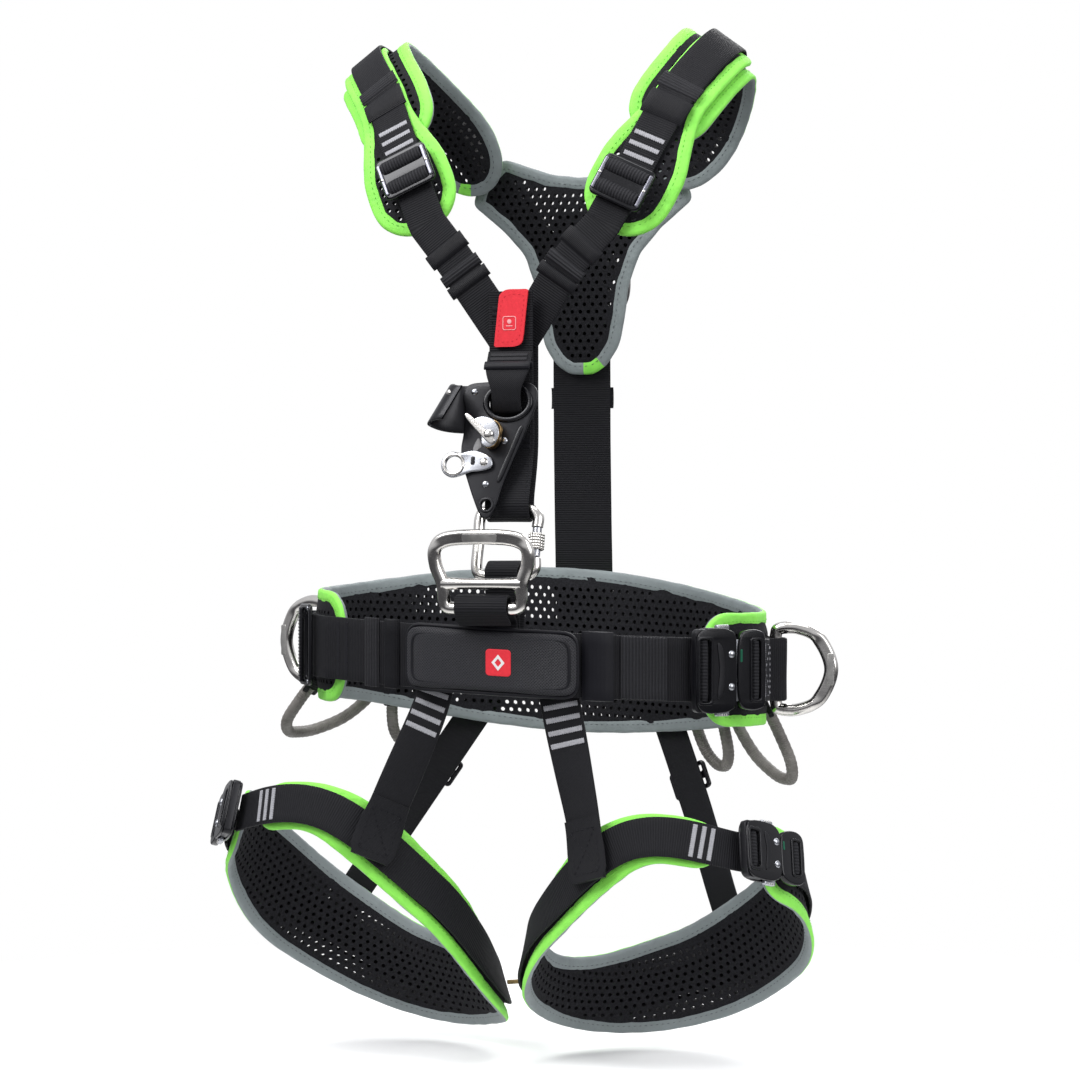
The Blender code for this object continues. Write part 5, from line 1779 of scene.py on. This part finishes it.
def build_clamp_body(origin, right, up, facing):
    """Stamped plate with a top eye, a lower eye and a rope channel bent forward at its left."""
    outline = [(-30, 14.5), (-18, 16.6), (0, 16.9), (13, 16.2), (19.5, 12), (20.6, 3), (16.5, -11)]
    outline += [(10.5, -28), (4.5, -44), (-0.5, -58), (-4, -71), (-8, -80), (-13, -81.5), (-17, -77)]
    outline += [(-22, -66), (-27, -53), (-31, -42), (-32.5, -31), (-31.5, -20), (-31.5, -4), (-33.5, 6)]
    shape = smooth_outline(outline, 5)
    hole = ellipse(14.4, 10.8, 1.6)
    lower_hole = circle(3.8, CLAMP_LOWER_EYE, 24)
    clamp = Piece("chest_clamp_body_look")
    add_plate(clamp, shape, origin, right, up, CLAMP_PLATE, "black_alloy", [hole, lower_hole],
              bevel=1.1, rings=4)
    add_plate(clamp, ellipse(18.2, 14.4, 1.6), origin + facing * 3.4, right, up, 2.6, "black_gloss",
              [hole], bevel=1.2, rings=4)
    add_plate(clamp, circle(5.6, CLAMP_LOWER_EYE, 28), origin + facing * 3.6, right, up, 1.2,
              "black_alloy", [lower_hole], bevel=0.5)
    add_plate(clamp, circle(5.6, CLAMP_CAM_PIVOT[:2], 28), origin + facing * 3.6, right, up, 2.4,
              "black_alloy", bevel=0.5)
    ridge = smooth_outline(((9, -17), (12, -17), (6.5, -33), (-1.5, -54), (-4.5, -53), (3.2, -32)), 5)
    add_plate(clamp, ridge, origin + facing * 3.6, right, up, 1.4, "black_gloss", bevel=0.65)
    mark = ((-20, -24), (-17.6, -30), (-20.4, -33), (-18.2, -41), (-21.8, -35), (-23.4, -31))
    mark = smooth_outline(mark, 4)
    add_plate(clamp, mark, origin + facing * 3.85, right, up, 0.3, "print", bevel=0.1, rings=1)
    centre = origin + right * -31.0 + facing * 14.5
    stations = []
    steps = 44
    for i in range(steps + 1):
        turn = math.radians(90 - 178 * i / steps)
        spoke = -right * math.cos(turn) - facing * math.sin(turn)
        lean = 0.55 * smooth_step(i / steps, 0.1, 0.6)
        stations.append((centre + spoke * 13.0, (up + right * lean).normalized(), spoke))
    path = Path(stations)

    def high(share):
        return 14.5 - 5.0 * smooth_step(share, 0.45, 0.95)

    def low(share):
        return -20.0 + 1.5 * smooth_step(share, 0.5, 1.0)

    add_sheet(clamp, path, low, high, 2.6, "black_alloy")
    for a, b in ((-25.0, 9.5), (-1.0, -26.0), (-13.0, -57.0)):
        add_rivet(clamp, origin + right * a + up * b + facing * CLAMP_PLATE, facing, 2.5, 1.2)
    front = path.point(path.length * 0.82, 4.0, 1.3)
    add_rivet(clamp, front, path.normal(path.length * 0.82), 2.2, 1.0, "steel")
    clamp.build("chest_clamp", ("chest_clamp_body",), "black_alloy")


def build_clamp_cam(origin, right, up, facing):
    """Toothed cam on its pivot, with its spring and thumb bar."""
    across, rise, out = CLAMP_CAM_PIVOT
    pivot = origin + right * across + up * rise + facing * out
    cam = Piece("chest_clamp_cam_look")
    outline = [(5, -6), (7, 2), (3, 10), (-6, 13), (-13, 10), (-11, 4), (-6, -1), (-5, -7), (0, -9)]
    add_plate(cam, smooth_outline(outline, 5), pivot, right, up, 7.4, "bronze", bevel=1.0, rings=3)
    add_plate(cam, smooth_outline(outline, 5), pivot + facing * 7.4, right, up, 1.6, "zinc",
              bevel=0.7, rings=3)
    for row in range(3):
        for column in range(5):
            share = column / 4
            spot = pivot + right * (-7.28 - 3.72 * share) + up * (1.6 + 8.0 * share)
            spot += facing * (1.8 + 2.7 * row) + right * (1.3 - 2.4 * share)
            add_turned(cam, spot, -right, ((0.85, -0.8), (0.6, 0.5), (0.0, 1.4)), "zinc", 8)
    arm = smooth_outline(((4.5, -3.5), (-5, 5.5), (-15.5, 14.5), (-18.0, 12.6), (-8, 1.5), (1.5, -7)), 5)
    add_plate(cam, arm, pivot + facing * 9.2, right, up, 1.8, "steel", bevel=0.7)
    add_rivet(cam, pivot + facing * 10.8, facing, 3.4, 1.4, "steel")
    coil = []
    turns, steps, coil_radius = 5.5, 110, 6.4
    for i in range(steps + 1):
        turn = 2 * math.pi * turns * i / steps
        spot = pivot + facing * (2.6 + 4.6 * i / steps) + right * (coil_radius * math.cos(turn) + 1.0)
        coil.append(spot + up * (coil_radius * math.sin(turn) + 4.0))
    add_tube(cam, path_stations(coil, [facing] * len(coil)), 0.55, "bronze", 8)
    cam.build("chest_clamp_cam", ("chest_clamp_cam",), "polished_steel")


def build_clamp_catch(origin, right, up, facing):
    """Safety catch with a pull ring."""
    across, rise, out = CLAMP_CATCH_PIVOT
    pivot = origin + right * across + up * rise + facing * out
    catch = Piece("chest_clamp_catch_look")
    ring_centre = (-22.0, -1.5)
    outline = [(5, 3), (0, 6.5), (-9, 8.5)]
    for i in range(7):
        turn = math.radians(62 + 236 * i / 6)
        outline.append((ring_centre[0] + 9.4 * math.cos(turn), ring_centre[1] + 9.4 * math.sin(turn)))
    outline += [(-9, -7), (0, -6), (6, -3)]
    hole = circle(5.9, ring_centre, 28)
    add_plate(catch, smooth_outline(outline, 4), pivot, right, up, 2.6, "zinc", [hole], bevel=0.9)
    add_plate(catch, circle(8.2, ring_centre, 30), pivot + facing * 2.1, right, up, 1.5, "steel",
              [circle(6.1, ring_centre, 28)], bevel=0.7)
    slit = moved(rounded_box(1.5, 3.0, 1.2, 5), -8.0, 1.0)
    add_plate(catch, slit, pivot + facing * 2.3, right, up, 0.6, "black_gloss", bevel=0.2)
    add_rivet(catch, pivot + facing * 2.6, facing, 3.0, 1.2, "steel")
    catch.build("chest_clamp_catch", ("chest_clamp_catch",), "polished_steel")


def build_chest_clamp():
    """The clamp's body, cam and catch, hung from its top eye."""
    right, up, facing = clamp_axes()
    origin = Vector(CLAMP_TOP)
    build_clamp_body(origin, right, up, facing)
    build_clamp_cam(origin, right, up, facing)
    build_clamp_catch(origin, right, up, facing)


def build_clamp_webbing():
    """Webbing that comes down from the tab, narrows and turns through the clamp's eye."""
    x, y, z = CLAMP_TOP
    points = [
        Vector((x, -96.6, 216.0)), Vector((x, y - 8.0, z + 20.0)), Vector((x, y - 8.4, z + 6.0)),
        Vector((x, y - 5.6, z - 3.0)), Vector((x, y - 1.0, z - 5.2)), Vector((x, y + 3.0, z - 2.0)),
    ]
    outwards = [Vector((0, -1, 0.1))] * 3
    outwards += [Vector((0, -0.6, -1)), Vector((0, 0, -1)), Vector((0, 0.7, -0.7))]
    path = webbing_path(points, outwards, 6)
    strap = Piece("chest_clamp_webbing_look")

    def narrowing(distance):
        return 1.0 - 0.34 * smooth_step(distance, 12.0, 34.0)

    add_strap(strap, path, 32.0, "webbing_twill", 2.0, seed=12.0, wave=0.14, step=1.5, narrow=narrowing)
    for place in (3.0, 6.4):
        add_bar(strap, path, place, 27.0, 1.0, 2.6, "thread", 0.6)
    add_keeper(strap, path, 12.0, 6.5, 33.5, 1.2, "satin", 2.0)
    strap.build(HARNESS, ("chest_clamp_webbing",), "webbing")


# ---------------------------------------------------------------- shoulders and back


def build_yoke():
    """The U shaped pad between the shoulder blades."""
    half = [(9, 211), (19, 218), (28, 232), (32, 252), (35, 276), (44, 302), (62, 322), (85, 341)]
    half += [(80, 356), (62, 374), (44, 368), (24, 361)]
    outline = half + [(0, 358)] + [(-a, b) for a, b in reversed(half)]
    loop = resample(outline, 2.4)

    def place(across, level, height):
        across, level = np.asarray(across, float), np.asarray(level, float)
        height = np.broadcast_to(np.asarray(height, float), across.shape)
        return np.stack([2 + across, 109.25 + height, level], -1)

    add_pad("back_yoke", place, loop, 6.5, 3.8, seed=21.0, outer="grey",
            green_tabs=((0.985, 1.0), (0.0, 0.016)))


def build_back_strap():
    """Webbing from the yoke, over the dorsal ring's bar, down to the belt."""
    x, y, z = DORSAL_PIVOT
    guide = (
        ((x, 115.8, z + 40), (0, 1, 0)), ((x, 116.4, z + 16), (0, 1, 0.1)),
        ((x, y + 3.6, z + 7.5), (0, 0.8, 0.6)), ((x, y + 6.4, z), (0, 1, 0)),
        ((x, y + 3.6, z - 7.5), (0, 0.8, -0.6)), ((x, 116.4, z - 16), (0, 1, -0.1)),
        ((x, 115.8, z - 60), (0, 1, 0)), ((x, 117.0, 150), (0, 1, 0)),
        ((x, 122.0, 60), (0, 1, 0)), ((x, 125.6, 20), (0, 1, 0)), ((x, 125.6, -18), (0, 1, 0)),
    )
    path = Path(guided_path(guide, 14))
    strap = Piece("back_strap_look")
    add_strap(strap, path, WAIST_WEB, "webbing", seed=13.0)
    for place in (10.0, 14.5, 66.0, 70.5):
        add_bar(strap, path, place, WAIST_WEB - 6, WEB_THICK / 2, 3.0, "tack", 0.6)
    stitch_box(strap, path, path.length - 36, path.length - 4, WAIST_WEB - 8, WEB_THICK / 2 + 0.1, "tack")
    add_keeper(strap, path, 150.0, 16.0, WAIST_WEB + 4, 0.9, "elastic", 2.4)
    strap.build(HARNESS, ("back_strap",), "webbing")


def build_dorsal_ring():
    """Ring on the back, hanging from its bar."""
    pivot = Vector(DORSAL_PIVOT)
    half = ((14, 0), (27, 0), (32, -6), (30, -24), (18, -40))
    points = [(0, 0), *half, (0, -44)]
    points += [(-a, b) for a, b in reversed(half)]
    up = Vector((0, -0.14, 1))
    stations = plane_loop(points, pivot, (1, 0, 0), up, 12)
    middle = nearest_share(stations, pivot - up * 44)
    ring = Piece("dorsal_ring_look")
    add_tube(ring, stations, DORSAL_TUBE, "steel", 28, True, forged_shape(middle, 0.07))
    flat = rounded_box(8.5, 2.4, 1.3, 5)
    add_flats(ring, pivot - up * 44, (-1, 0, 0), up, flat, DORSAL_TUBE)
    ring.build("dorsal_ring", ("dorsal_ring",), "polished_steel", sharp=45.0)


def build_wing(side):
    """Pad from the yoke over the shoulder."""
    path = Path(shoulder_line(side)[: 4 * LINE_SPANS * FINER + 1])
    loop = pad_outline(path, rounded_limits(lambda s: -WING_HALF_WIDTH, lambda s: WING_HALF_WIDTH, 0.2))
    tabs = ((0.952, 0.972),) if side == "left" else ()
    add_pad(f"shoulder_wing_{side}", path.points, loop, WING_THICK, 3.8, seed=31.0,
            green_tabs=tabs)


def build_shoulder_pad(side):
    """Pear shaped pad at the front of the shoulder."""
    path = Path(raised(shoulder_line(side)[2 * LINE_SPANS * FINER :], SHOULDER_PAD_LIFT))
    outer = SIDE_SIGN[side]

    def limits(share):
        foot = max(0.0, (share - 0.8) / 0.2)
        half = (18.5 + 13.0 * smooth_step(share, 0.3, 0.7)) * math.sqrt(1.0 - 0.93 * foot**2)
        return -half - PEAR_SHIFT * outer, half - PEAR_SHIFT * outer

    loop = pad_outline(path, limits)
    add_pad(f"shoulder_pad_{side}", path.points, loop, 5.0, 3.4, seed=41.0, inner="green")


def build_shoulder_strap(side):
    """Webbing from the yoke over the wing to the shoulder buckle."""
    sign = SIDE_SIGN[side]
    line = shoulder_line(side)
    over = line[(LINE_SPANS - 1) * FINER : (BUCKLE_STATION[side] + 1) * FINER + 1]
    over = raised(over, SHOULDER_WEB_LIFT)
    guide = [
        ((sign * 27, 116.4, 300), (0, 1, 0)), ((sign * 47, 116.8, 330), (0, 1, 0)),
        ((sign * 75, 117.2, 366), (0, 1, 0.1)), (over[0][0], over[0][2]),
    ]
    stations = guided_path(guide, 12)[:-1] + over
    path = Path(stations)
    strap = Piece(f"shoulder_strap_{side}_look")
    add_strap(strap, path, BODY_WEB, "webbing", seed=14.0 + sign)
    end = path.length
    top = WEB_THICK / 2
    for offset in (29.0, 37.5, 46.0):
        add_bar(strap, path, end - offset, BODY_WEB - 5, top, 3.4, "tack", 0.75)
    add_keeper(strap, path, end - 72.0, 20.0, BODY_WEB + 4.5, 0.9, "elastic", 2.6)
    add_keeper(strap, path, end - 92.0, 14.0, BODY_WEB + 4.0, 0.9, "webbing_ribbed", 2.2)
    stitch_box(strap, path, 6.0, 30.0, BODY_WEB - 7, top + 0.1, "tack")
    strap.build(HARNESS, (f"shoulder_strap_{side}",), "webbing")


def build_shoulder_buckle(side):
    """Ladder frame with the webbing rolled over its bars."""
    centre, across, normal = shoulder_line(side)[BUCKLE_STATION[side] * FINER]
    up = normal.cross(across).normalized()
    if up.z < 0:
        across, up = -across, -up
    facing = across.cross(up).normalized()
    window = rounded_box(15.0, 3.6, 1.4, 5)
    holes = [moved(window, 0, -8.0), moved(window, 0, 8.0)]
    base = centre + normal * (SHOULDER_WEB_LIFT + 6.4)
    name = f"shoulder_buckle_{side}"
    buckle = Piece(f"{name}_look")
    add_plate(buckle, rounded_box(20.0, 16.0, 4.5), base, across, up, 3.6, "black_gloss", holes,
              bevel=1.5, rings=4)
    for sign in (-1, 1):
        post = base + across * (sign * 17.6) + facing * 3.0
        add_plate(buckle, rounded_box(1.5, 12.5, 1.4, 6), post, across, up, 1.9, "post", bevel=0.9, rings=4)
        add_rivet(buckle, base + across * (sign * 17.6) + facing * 4.8, facing, 1.2, 0.7, "steel")
    buckle.build(name, (name,), "black_alloy")
    rolls = Piece(f"{name}_webbing_rolls")
    for level, radius in ((8.0, 5.4), (-8.0, 5.6)):
        centre = base + up * level + facing * 2.0
        add_roll(rolls, centre, across, facing, 15.6, radius, 0.82, 0.1, 0.12)
    rolls.build(name, (), "webbing", sharp=60.0)


def build_chest_strap(side):
    """Webbing from the shoulder buckle to the breastbone, with its keepers."""
    line = shoulder_line(side)
    start = raised(line[(BUCKLE_STATION[side] - 1) * FINER :], SHOULDER_WEB_LIFT + 3.3)
    guide = [(start[-1][0], start[-1][2])]
    guide += [(point, (0, -1, 0.1)) for point in CHEST_ENDS[side]]
    beyond = Vector(CHEST_ENDS[side][1]) * 1.45 - Vector(CHEST_ENDS[side][0]) * 0.45
    guide.append((beyond, (0, -1, 0.1)))
    path = Path(start[:-1] + guided_path(guide, 16))
    strap = Piece(f"chest_strap_{side}_look")
    add_strap(strap, path, BODY_WEB, "webbing", seed=15.0)
    first = path.length - 20.0
    for offset, length, width, look in (
        (40.0, 9.0, 4.0, "webbing_ribbed"), (30.0, 9.0, 5.0, "elastic"), (58.0, 12.0, 4.0, "elastic"),
    ):
        add_keeper(strap, path, first - offset, length, BODY_WEB + width, 0.9, look, 2.4)
    strap.build(HARNESS, (f"chest_strap_{side}",), "webbing")


# ---------------------------------------------------------------- legs


def build_leg_pad(side):
    """Perforated pad round the thigh."""

    def half_width(share):
        wide = 16.0 + 4.0 * smooth_step(share, 0.06, 0.16)
        wide += 16.0 * smooth_step(share, 0.36, 0.62)
        return wide - 10.0 * smooth_step(share, 0.8, 1.0)

    path = leg_path(side, 5, -43)
    loop = pad_outline(path, rounded_limits(lambda s: -half_width(s), half_width, 0.04, 3.0))
    add_pad(f"leg_pad_{side}", path.points, loop, 6.5, 3.6, seed=51.0)


def build_leg_strap(side):
    """Webbing round the leg pad."""
    path = leg_path(side, 7, -41, LEG_WEB_LIFT)
    strap = Piece(f"leg_strap_{side}_look")
    add_strap(strap, path, BODY_WEB, "webbing", seed=16.0)
    top = WEB_THICK / 2
    for place in (31.0, 37.5, 44.0):
        add_bar(strap, path, place, BODY_WEB - 5, top, 3.2, "tack", 0.75)
    middle = path.length * 0.62
    for offset in (0.0, 6.0):
        add_bar(strap, path, middle + offset, BODY_WEB - 5, top, 3.0, "thread", 0.7)
    strap.build(HARNESS, (f"leg_strap_{side}",), "webbing")


def build_leg_buckle(side):
    """The quick buckle at the outside of the leg loop."""
    centre, up, normal = leg_station(side, LEG_BUCKLE_ANGLE, LEG_TOP_LIFT)
    ahead = leg_station(side, LEG_BUCKLE_ANGLE + 18.0, LEG_TOP_LIFT)[0]
    along = (ahead - centre).normalized()
    up = (up - along * up.dot(along)).normalized()
    if along.cross(up).dot(normal) < 0:
        up = -up
    build_quick_buckle(f"leg_buckle_{side}", centre, along, up, 21.0)


def build_leg_riser(side):
    """Webbing from the belt's front to the leg loop, with a flared sewn foot."""
    sign = SIDE_SIGN[side]
    centre, _, normal = leg_station(side, RISER_FOOT_ANGLE[side], LEG_TOP_LIFT + 0.8)
    below_belt = belt_point(sign * 16.5, 4.5, -30.0)
    down = (centre - below_belt).normalized()
    down = (down - normal * down.dot(normal)).normalized()
    guide = [
        (belt_point(sign * 14.0, 4.5, 12.0), belt_frame(sign * 14.0, 0)[3]),
        (below_belt, belt_frame(sign * 16.5, 0)[3]),
        (centre - down * 22.0 + normal * 1.0, normal),
        (centre + down * 14.0, normal),
    ]
    path = Path(guided_path(guide, 24))
    strap = Piece(f"leg_riser_{side}_look")
    add_strap(strap, path, BODY_WEB, "webbing_twill", seed=17.0 + sign)
    top = WEB_THICK / 2
    first = 38.0 if side == "left" else 42.0
    for i in range(4):
        add_bar(strap, path, first + 9.0 * i, BODY_WEB - 4, top, 3.6, "tack", 0.8)
    end = path.length

    def flared(distance):
        spread = 1.0 + 0.17 * smooth_step(distance, end - 44.0, end - 18.0)
        return spread * (1.0 - 0.2 * smooth_step(distance, end - 7.0, end + 1.0))

    add_strap(strap, path, BODY_WEB + 0.4, "webbing_twill", 1.6, end - 44.0, end, 1.9, seed=18.0,
              narrow=flared)
    stitch_box(strap, path, end - 36.0, end - 5.0, BODY_WEB - 6, 2.8, "thread")
    strap.build(HARNESS, (f"leg_riser_{side}",), "webbing")


def build_rear_leg_strap(side):
    """Webbing from the belt's back to the leg loop, with a small ladder adjuster."""
    facing = belt_frame(REAR_STRAP_TOP[side], 0)[3]
    top = belt_point(REAR_STRAP_TOP[side], 14.6, -28.0)
    centre, up, normal = leg_station(side, REAR_STRAP_FOOT[side], LEG_TOP_LIFT + 1.0)
    foot = centre + up * 16.0 + normal * 1.0
    mid = (top + foot) / 2 + facing * 3.0
    guide = [(top, facing), (mid, facing), (foot, normal), (centre - up * 6.0, normal)]
    coarse = guided_path(guide, 4)
    path = Path(guided_path(guide, 16))
    strap = Piece(f"rear_leg_strap_{side}_look")
    add_strap(strap, path, REAR_WEB, "webbing_twill", seed=19.0)
    stitch_box(strap, path, path.length - 24, path.length - 4, REAR_WEB - 6, WEB_THICK / 2 + 0.1, "tack")
    strap.build(HARNESS, (f"rear_leg_strap_{side}",), "webbing")
    centre, across, normal = coarse[3]
    up = across.cross(normal).normalized()
    if up.z < 0:
        across, up = -across, -up
    if across.cross(up).dot(normal) < 0:
        across = -across
    window = rounded_box(12.8, 2.4, 1.0, 4)
    name = f"rear_leg_adjuster_{side}"
    frame_piece = Piece(f"{name}_look")
    base = centre + normal * 2.2
    add_plate(frame_piece, rounded_box(16.0, 11.0, 3.5), base, across, up, 3.4, "black_gloss",
              [moved(window, 0, -5.2), moved(window, 0, 5.2)], bevel=1.3, rings=4)
    lip = base + up * 9.4 + across.cross(up).normalized() * 3.0
    add_plate(frame_piece, rounded_box(14.0, 1.2, 1.0, 5), lip, across, up, 1.6, "zinc", bevel=0.7)
    frame_piece.build(name, (name,), "black_alloy")


def build_link_cord():
    """Braided elastic between the leg loops."""
    left = leg_station("left", -98.0, 9.5)[0]
    right = leg_station("right", -98.0, 9.5)[0]
    centres = spline([left, (left + right) / 2 + Vector((0, 0, -1.0)), right], 40)
    stations = path_stations(centres, [Vector((0, -1, 0))] * len(centres))

    def braid(share, turn):
        lift = 1.0 + 0.1 * math.sin(3 * turn + share * 60) * math.sin(3 * turn - share * 60)
        return lift, lift

    cord = Piece("leg_link_cord_look")
    add_tube(cord, stations, 1.6, "cord", 14, False, braid)
    cord.build(HARNESS, ("leg_link_cord",), "elastic_cord", sharp=60.0)


# ---------------------------------------------------------------- assembly


def build_harness():
    """Every visible piece."""
    build_belt_pad()
    build_waist_webbing()
    build_front_cover()
    build_waist_adjuster()
    centre, along, up, _ = belt_frame(WAIST_BUCKLE_ANGLE, BELT_WEB_OUT + 2.6)
    build_quick_buckle("waist_buckle", centre, along, up, 30.0)
    build_buckle_webbing()
    for name, settings in GEAR_LOOPS.items():
        build_gear_loop(name, *settings)
    build_ventral_ring()
    build_ventral_webbing()
    build_connector()
    build_connector_tab()
    build_sternal_sleeve()
    build_marker_tab()
    build_chest_clamp()
    build_clamp_webbing()
    build_yoke()
    build_back_strap()
    build_dorsal_ring()
    for side in ("left", "right"):
        build_side_ring(side)
        build_wing(side)
        build_shoulder_pad(side)
        build_shoulder_strap(side)
        build_shoulder_buckle(side)
        build_chest_strap(side)
        build_leg_pad(side)
        build_leg_strap(side)
        build_leg_buckle(side)
        build_leg_riser(side)
        build_rear_leg_strap(side)
    build_link_cord()


# ---------------------------------------------------------------- studio

CAMERA_AZIMUTH = 16.0
CAMERA_DISTANCE = 2.5
CAMERA_TARGET = (Vector((0.0, 0.0, 84.0)) - BACK_REST) * MM
CAMERA_LENS = 114.2
STUDIO_LIGHTS = (
    # name, azimuth, elevation, distance, size, power
    ("key", -35.0, 42.0, 1.9, 1.1, 34.0),
    ("fill", 62.0, 20.0, 2.0, 1.4, 22.0),
    ("top", 10.0, 85.0, 1.7, 1.2, 16.0),
    ("rim", 170.0, 35.0, 2.0, 1.2, 20.0),
)
FLOOR_RADIUS = 0.9
FLOOR_GAP = 0.012  # below the lowest point, in metres
FLOOR_FADE = (0.19, 0.74)  # where the floor starts and ends to fade, in metres


def build_camera():
    """Front view turned to the wearer's left, a long way off."""
    turn = math.radians(CAMERA_AZIMUTH)
    back = Vector((math.sin(turn), -math.cos(turn), 0.0))
    lens = bpy.data.cameras.new("view")
    lens.lens = CAMERA_LENS
    lens.sensor_width = 36.0
    lens.clip_start = 0.05
    camera = bpy.data.objects.new("view", lens)
    bpy.context.scene.collection.objects.link(camera)
    camera.location = CAMERA_TARGET + back * CAMERA_DISTANCE
    camera.rotation_euler = back.to_track_quat("Z", "Y").to_euler()
    bpy.context.scene.camera = camera


def build_light(name, azimuth, elevation, distance, size, power):
    """A soft round lamp aimed at the part's middle."""
    turn, rise = math.radians(azimuth), math.radians(elevation)
    back = Vector((math.sin(turn) * math.cos(rise), -math.cos(turn) * math.cos(rise), math.sin(rise)))
    lamp = bpy.data.lights.new(name, "AREA")
    lamp.shape = "DISK"
    lamp.size = size
    lamp.energy = power
    made = bpy.data.objects.new(name, lamp)
    bpy.context.scene.collection.objects.link(made)
    made.location = CAMERA_TARGET + back * distance
    made.rotation_euler = back.to_track_quat("Z", "Y").to_euler()


def build_world():
    """White to the camera, a softer grey dome for light and reflections."""
    world = bpy.data.worlds.new("studio")
    bpy.context.scene.world = world
    world.use_nodes = True
    tree = world.node_tree
    tree.nodes.clear()
    output = tree.nodes.new("ShaderNodeOutputWorld")
    mix = tree.nodes.new("ShaderNodeMixShader")
    seen = tree.nodes.new("ShaderNodeLightPath")
    dome = tree.nodes.new("ShaderNodeBackground")
    page = tree.nodes.new("ShaderNodeBackground")
    place = tree.nodes.new("ShaderNodeTexCoord")
    split = tree.nodes.new("ShaderNodeSeparateXYZ")
    ramp = tree.nodes.new("ShaderNodeValToRGB")
    ramp.color_ramp.elements[0].color = (0.12, 0.12, 0.13, 1)
    ramp.color_ramp.elements[0].position = 0.42
    ramp.color_ramp.elements[1].color = (0.95, 0.96, 1.0, 1)
    ramp.color_ramp.elements[1].position = 0.62
    remap = tree.nodes.new("ShaderNodeMapRange")
    remap.inputs["From Min"].default_value = -1.0
    tree.links.new(place.outputs["Generated"], split.inputs[0])
    tree.links.new(split.outputs[2], remap.inputs[0])
    tree.links.new(remap.outputs[0], ramp.inputs[0])
    tree.links.new(ramp.outputs[0], dome.inputs[0])
    dome.inputs[1].default_value = 0.8
    page.inputs[0].default_value = (1, 1, 1, 1)
    page.inputs[1].default_value = 1.0
    tree.links.new(seen.outputs["Is Camera Ray"], mix.inputs[0])
    tree.links.new(dome.outputs[0], mix.inputs[1])
    tree.links.new(page.outputs[0], mix.inputs[2])
    tree.links.new(mix.outputs[0], output.inputs[0])


def build_floor():
    """Pale round floor that fades out."""
    count = 96
    vertices = [(0, 0, 0)]
    vertices += [(a, b, 0) for a, b in circle(FLOOR_RADIUS, count=count)]
    faces = [(0, 1 + i, 1 + (i + 1) % count) for i in range(count)]
    mesh = bpy.data.meshes.new("floor")
    mesh.from_pydata(vertices, [], faces)
    shade = Shader("pale_floor")
    place = shade.node("ShaderNodeTexCoord")
    length = shade.node("ShaderNodeVectorMath", operation="LENGTH")
    shade.link(place.outputs["Object"], length.inputs[0])
    fade = shade.node("ShaderNodeMapRange")
    fade.inputs["From Min"].default_value, fade.inputs["From Max"].default_value = FLOOR_FADE
    fade.inputs["To Min"].default_value = 1.0
    fade.inputs["To Max"].default_value = 0.0
    shade.link(length.outputs["Value"], fade.inputs["Value"])
    shade.link(fade.outputs[0], shade.main.inputs["Alpha"])
    grain = shade.noise(12.0)
    colour = shade.ramp(grain, ((0.3, (0.86, 0.86, 0.86)), (0.7, (0.9, 0.9, 0.9))))
    mesh.materials.append(shade.finish(colour, 0.9))
    floor = bpy.data.objects.new("floor", mesh)
    floor.location = (-BACK_REST.x * MM, -BACK_REST.y * MM, CAD_BOUNDS[0][2] - FLOOR_GAP)
    bpy.context.scene.collection.objects.link(floor)


build_harness()
build_camera()
build_world()
build_floor()
for light in STUDIO_LIGHTS:
    build_light(*light)
bpy.context.scene.view_settings.view_transform = "Standard"
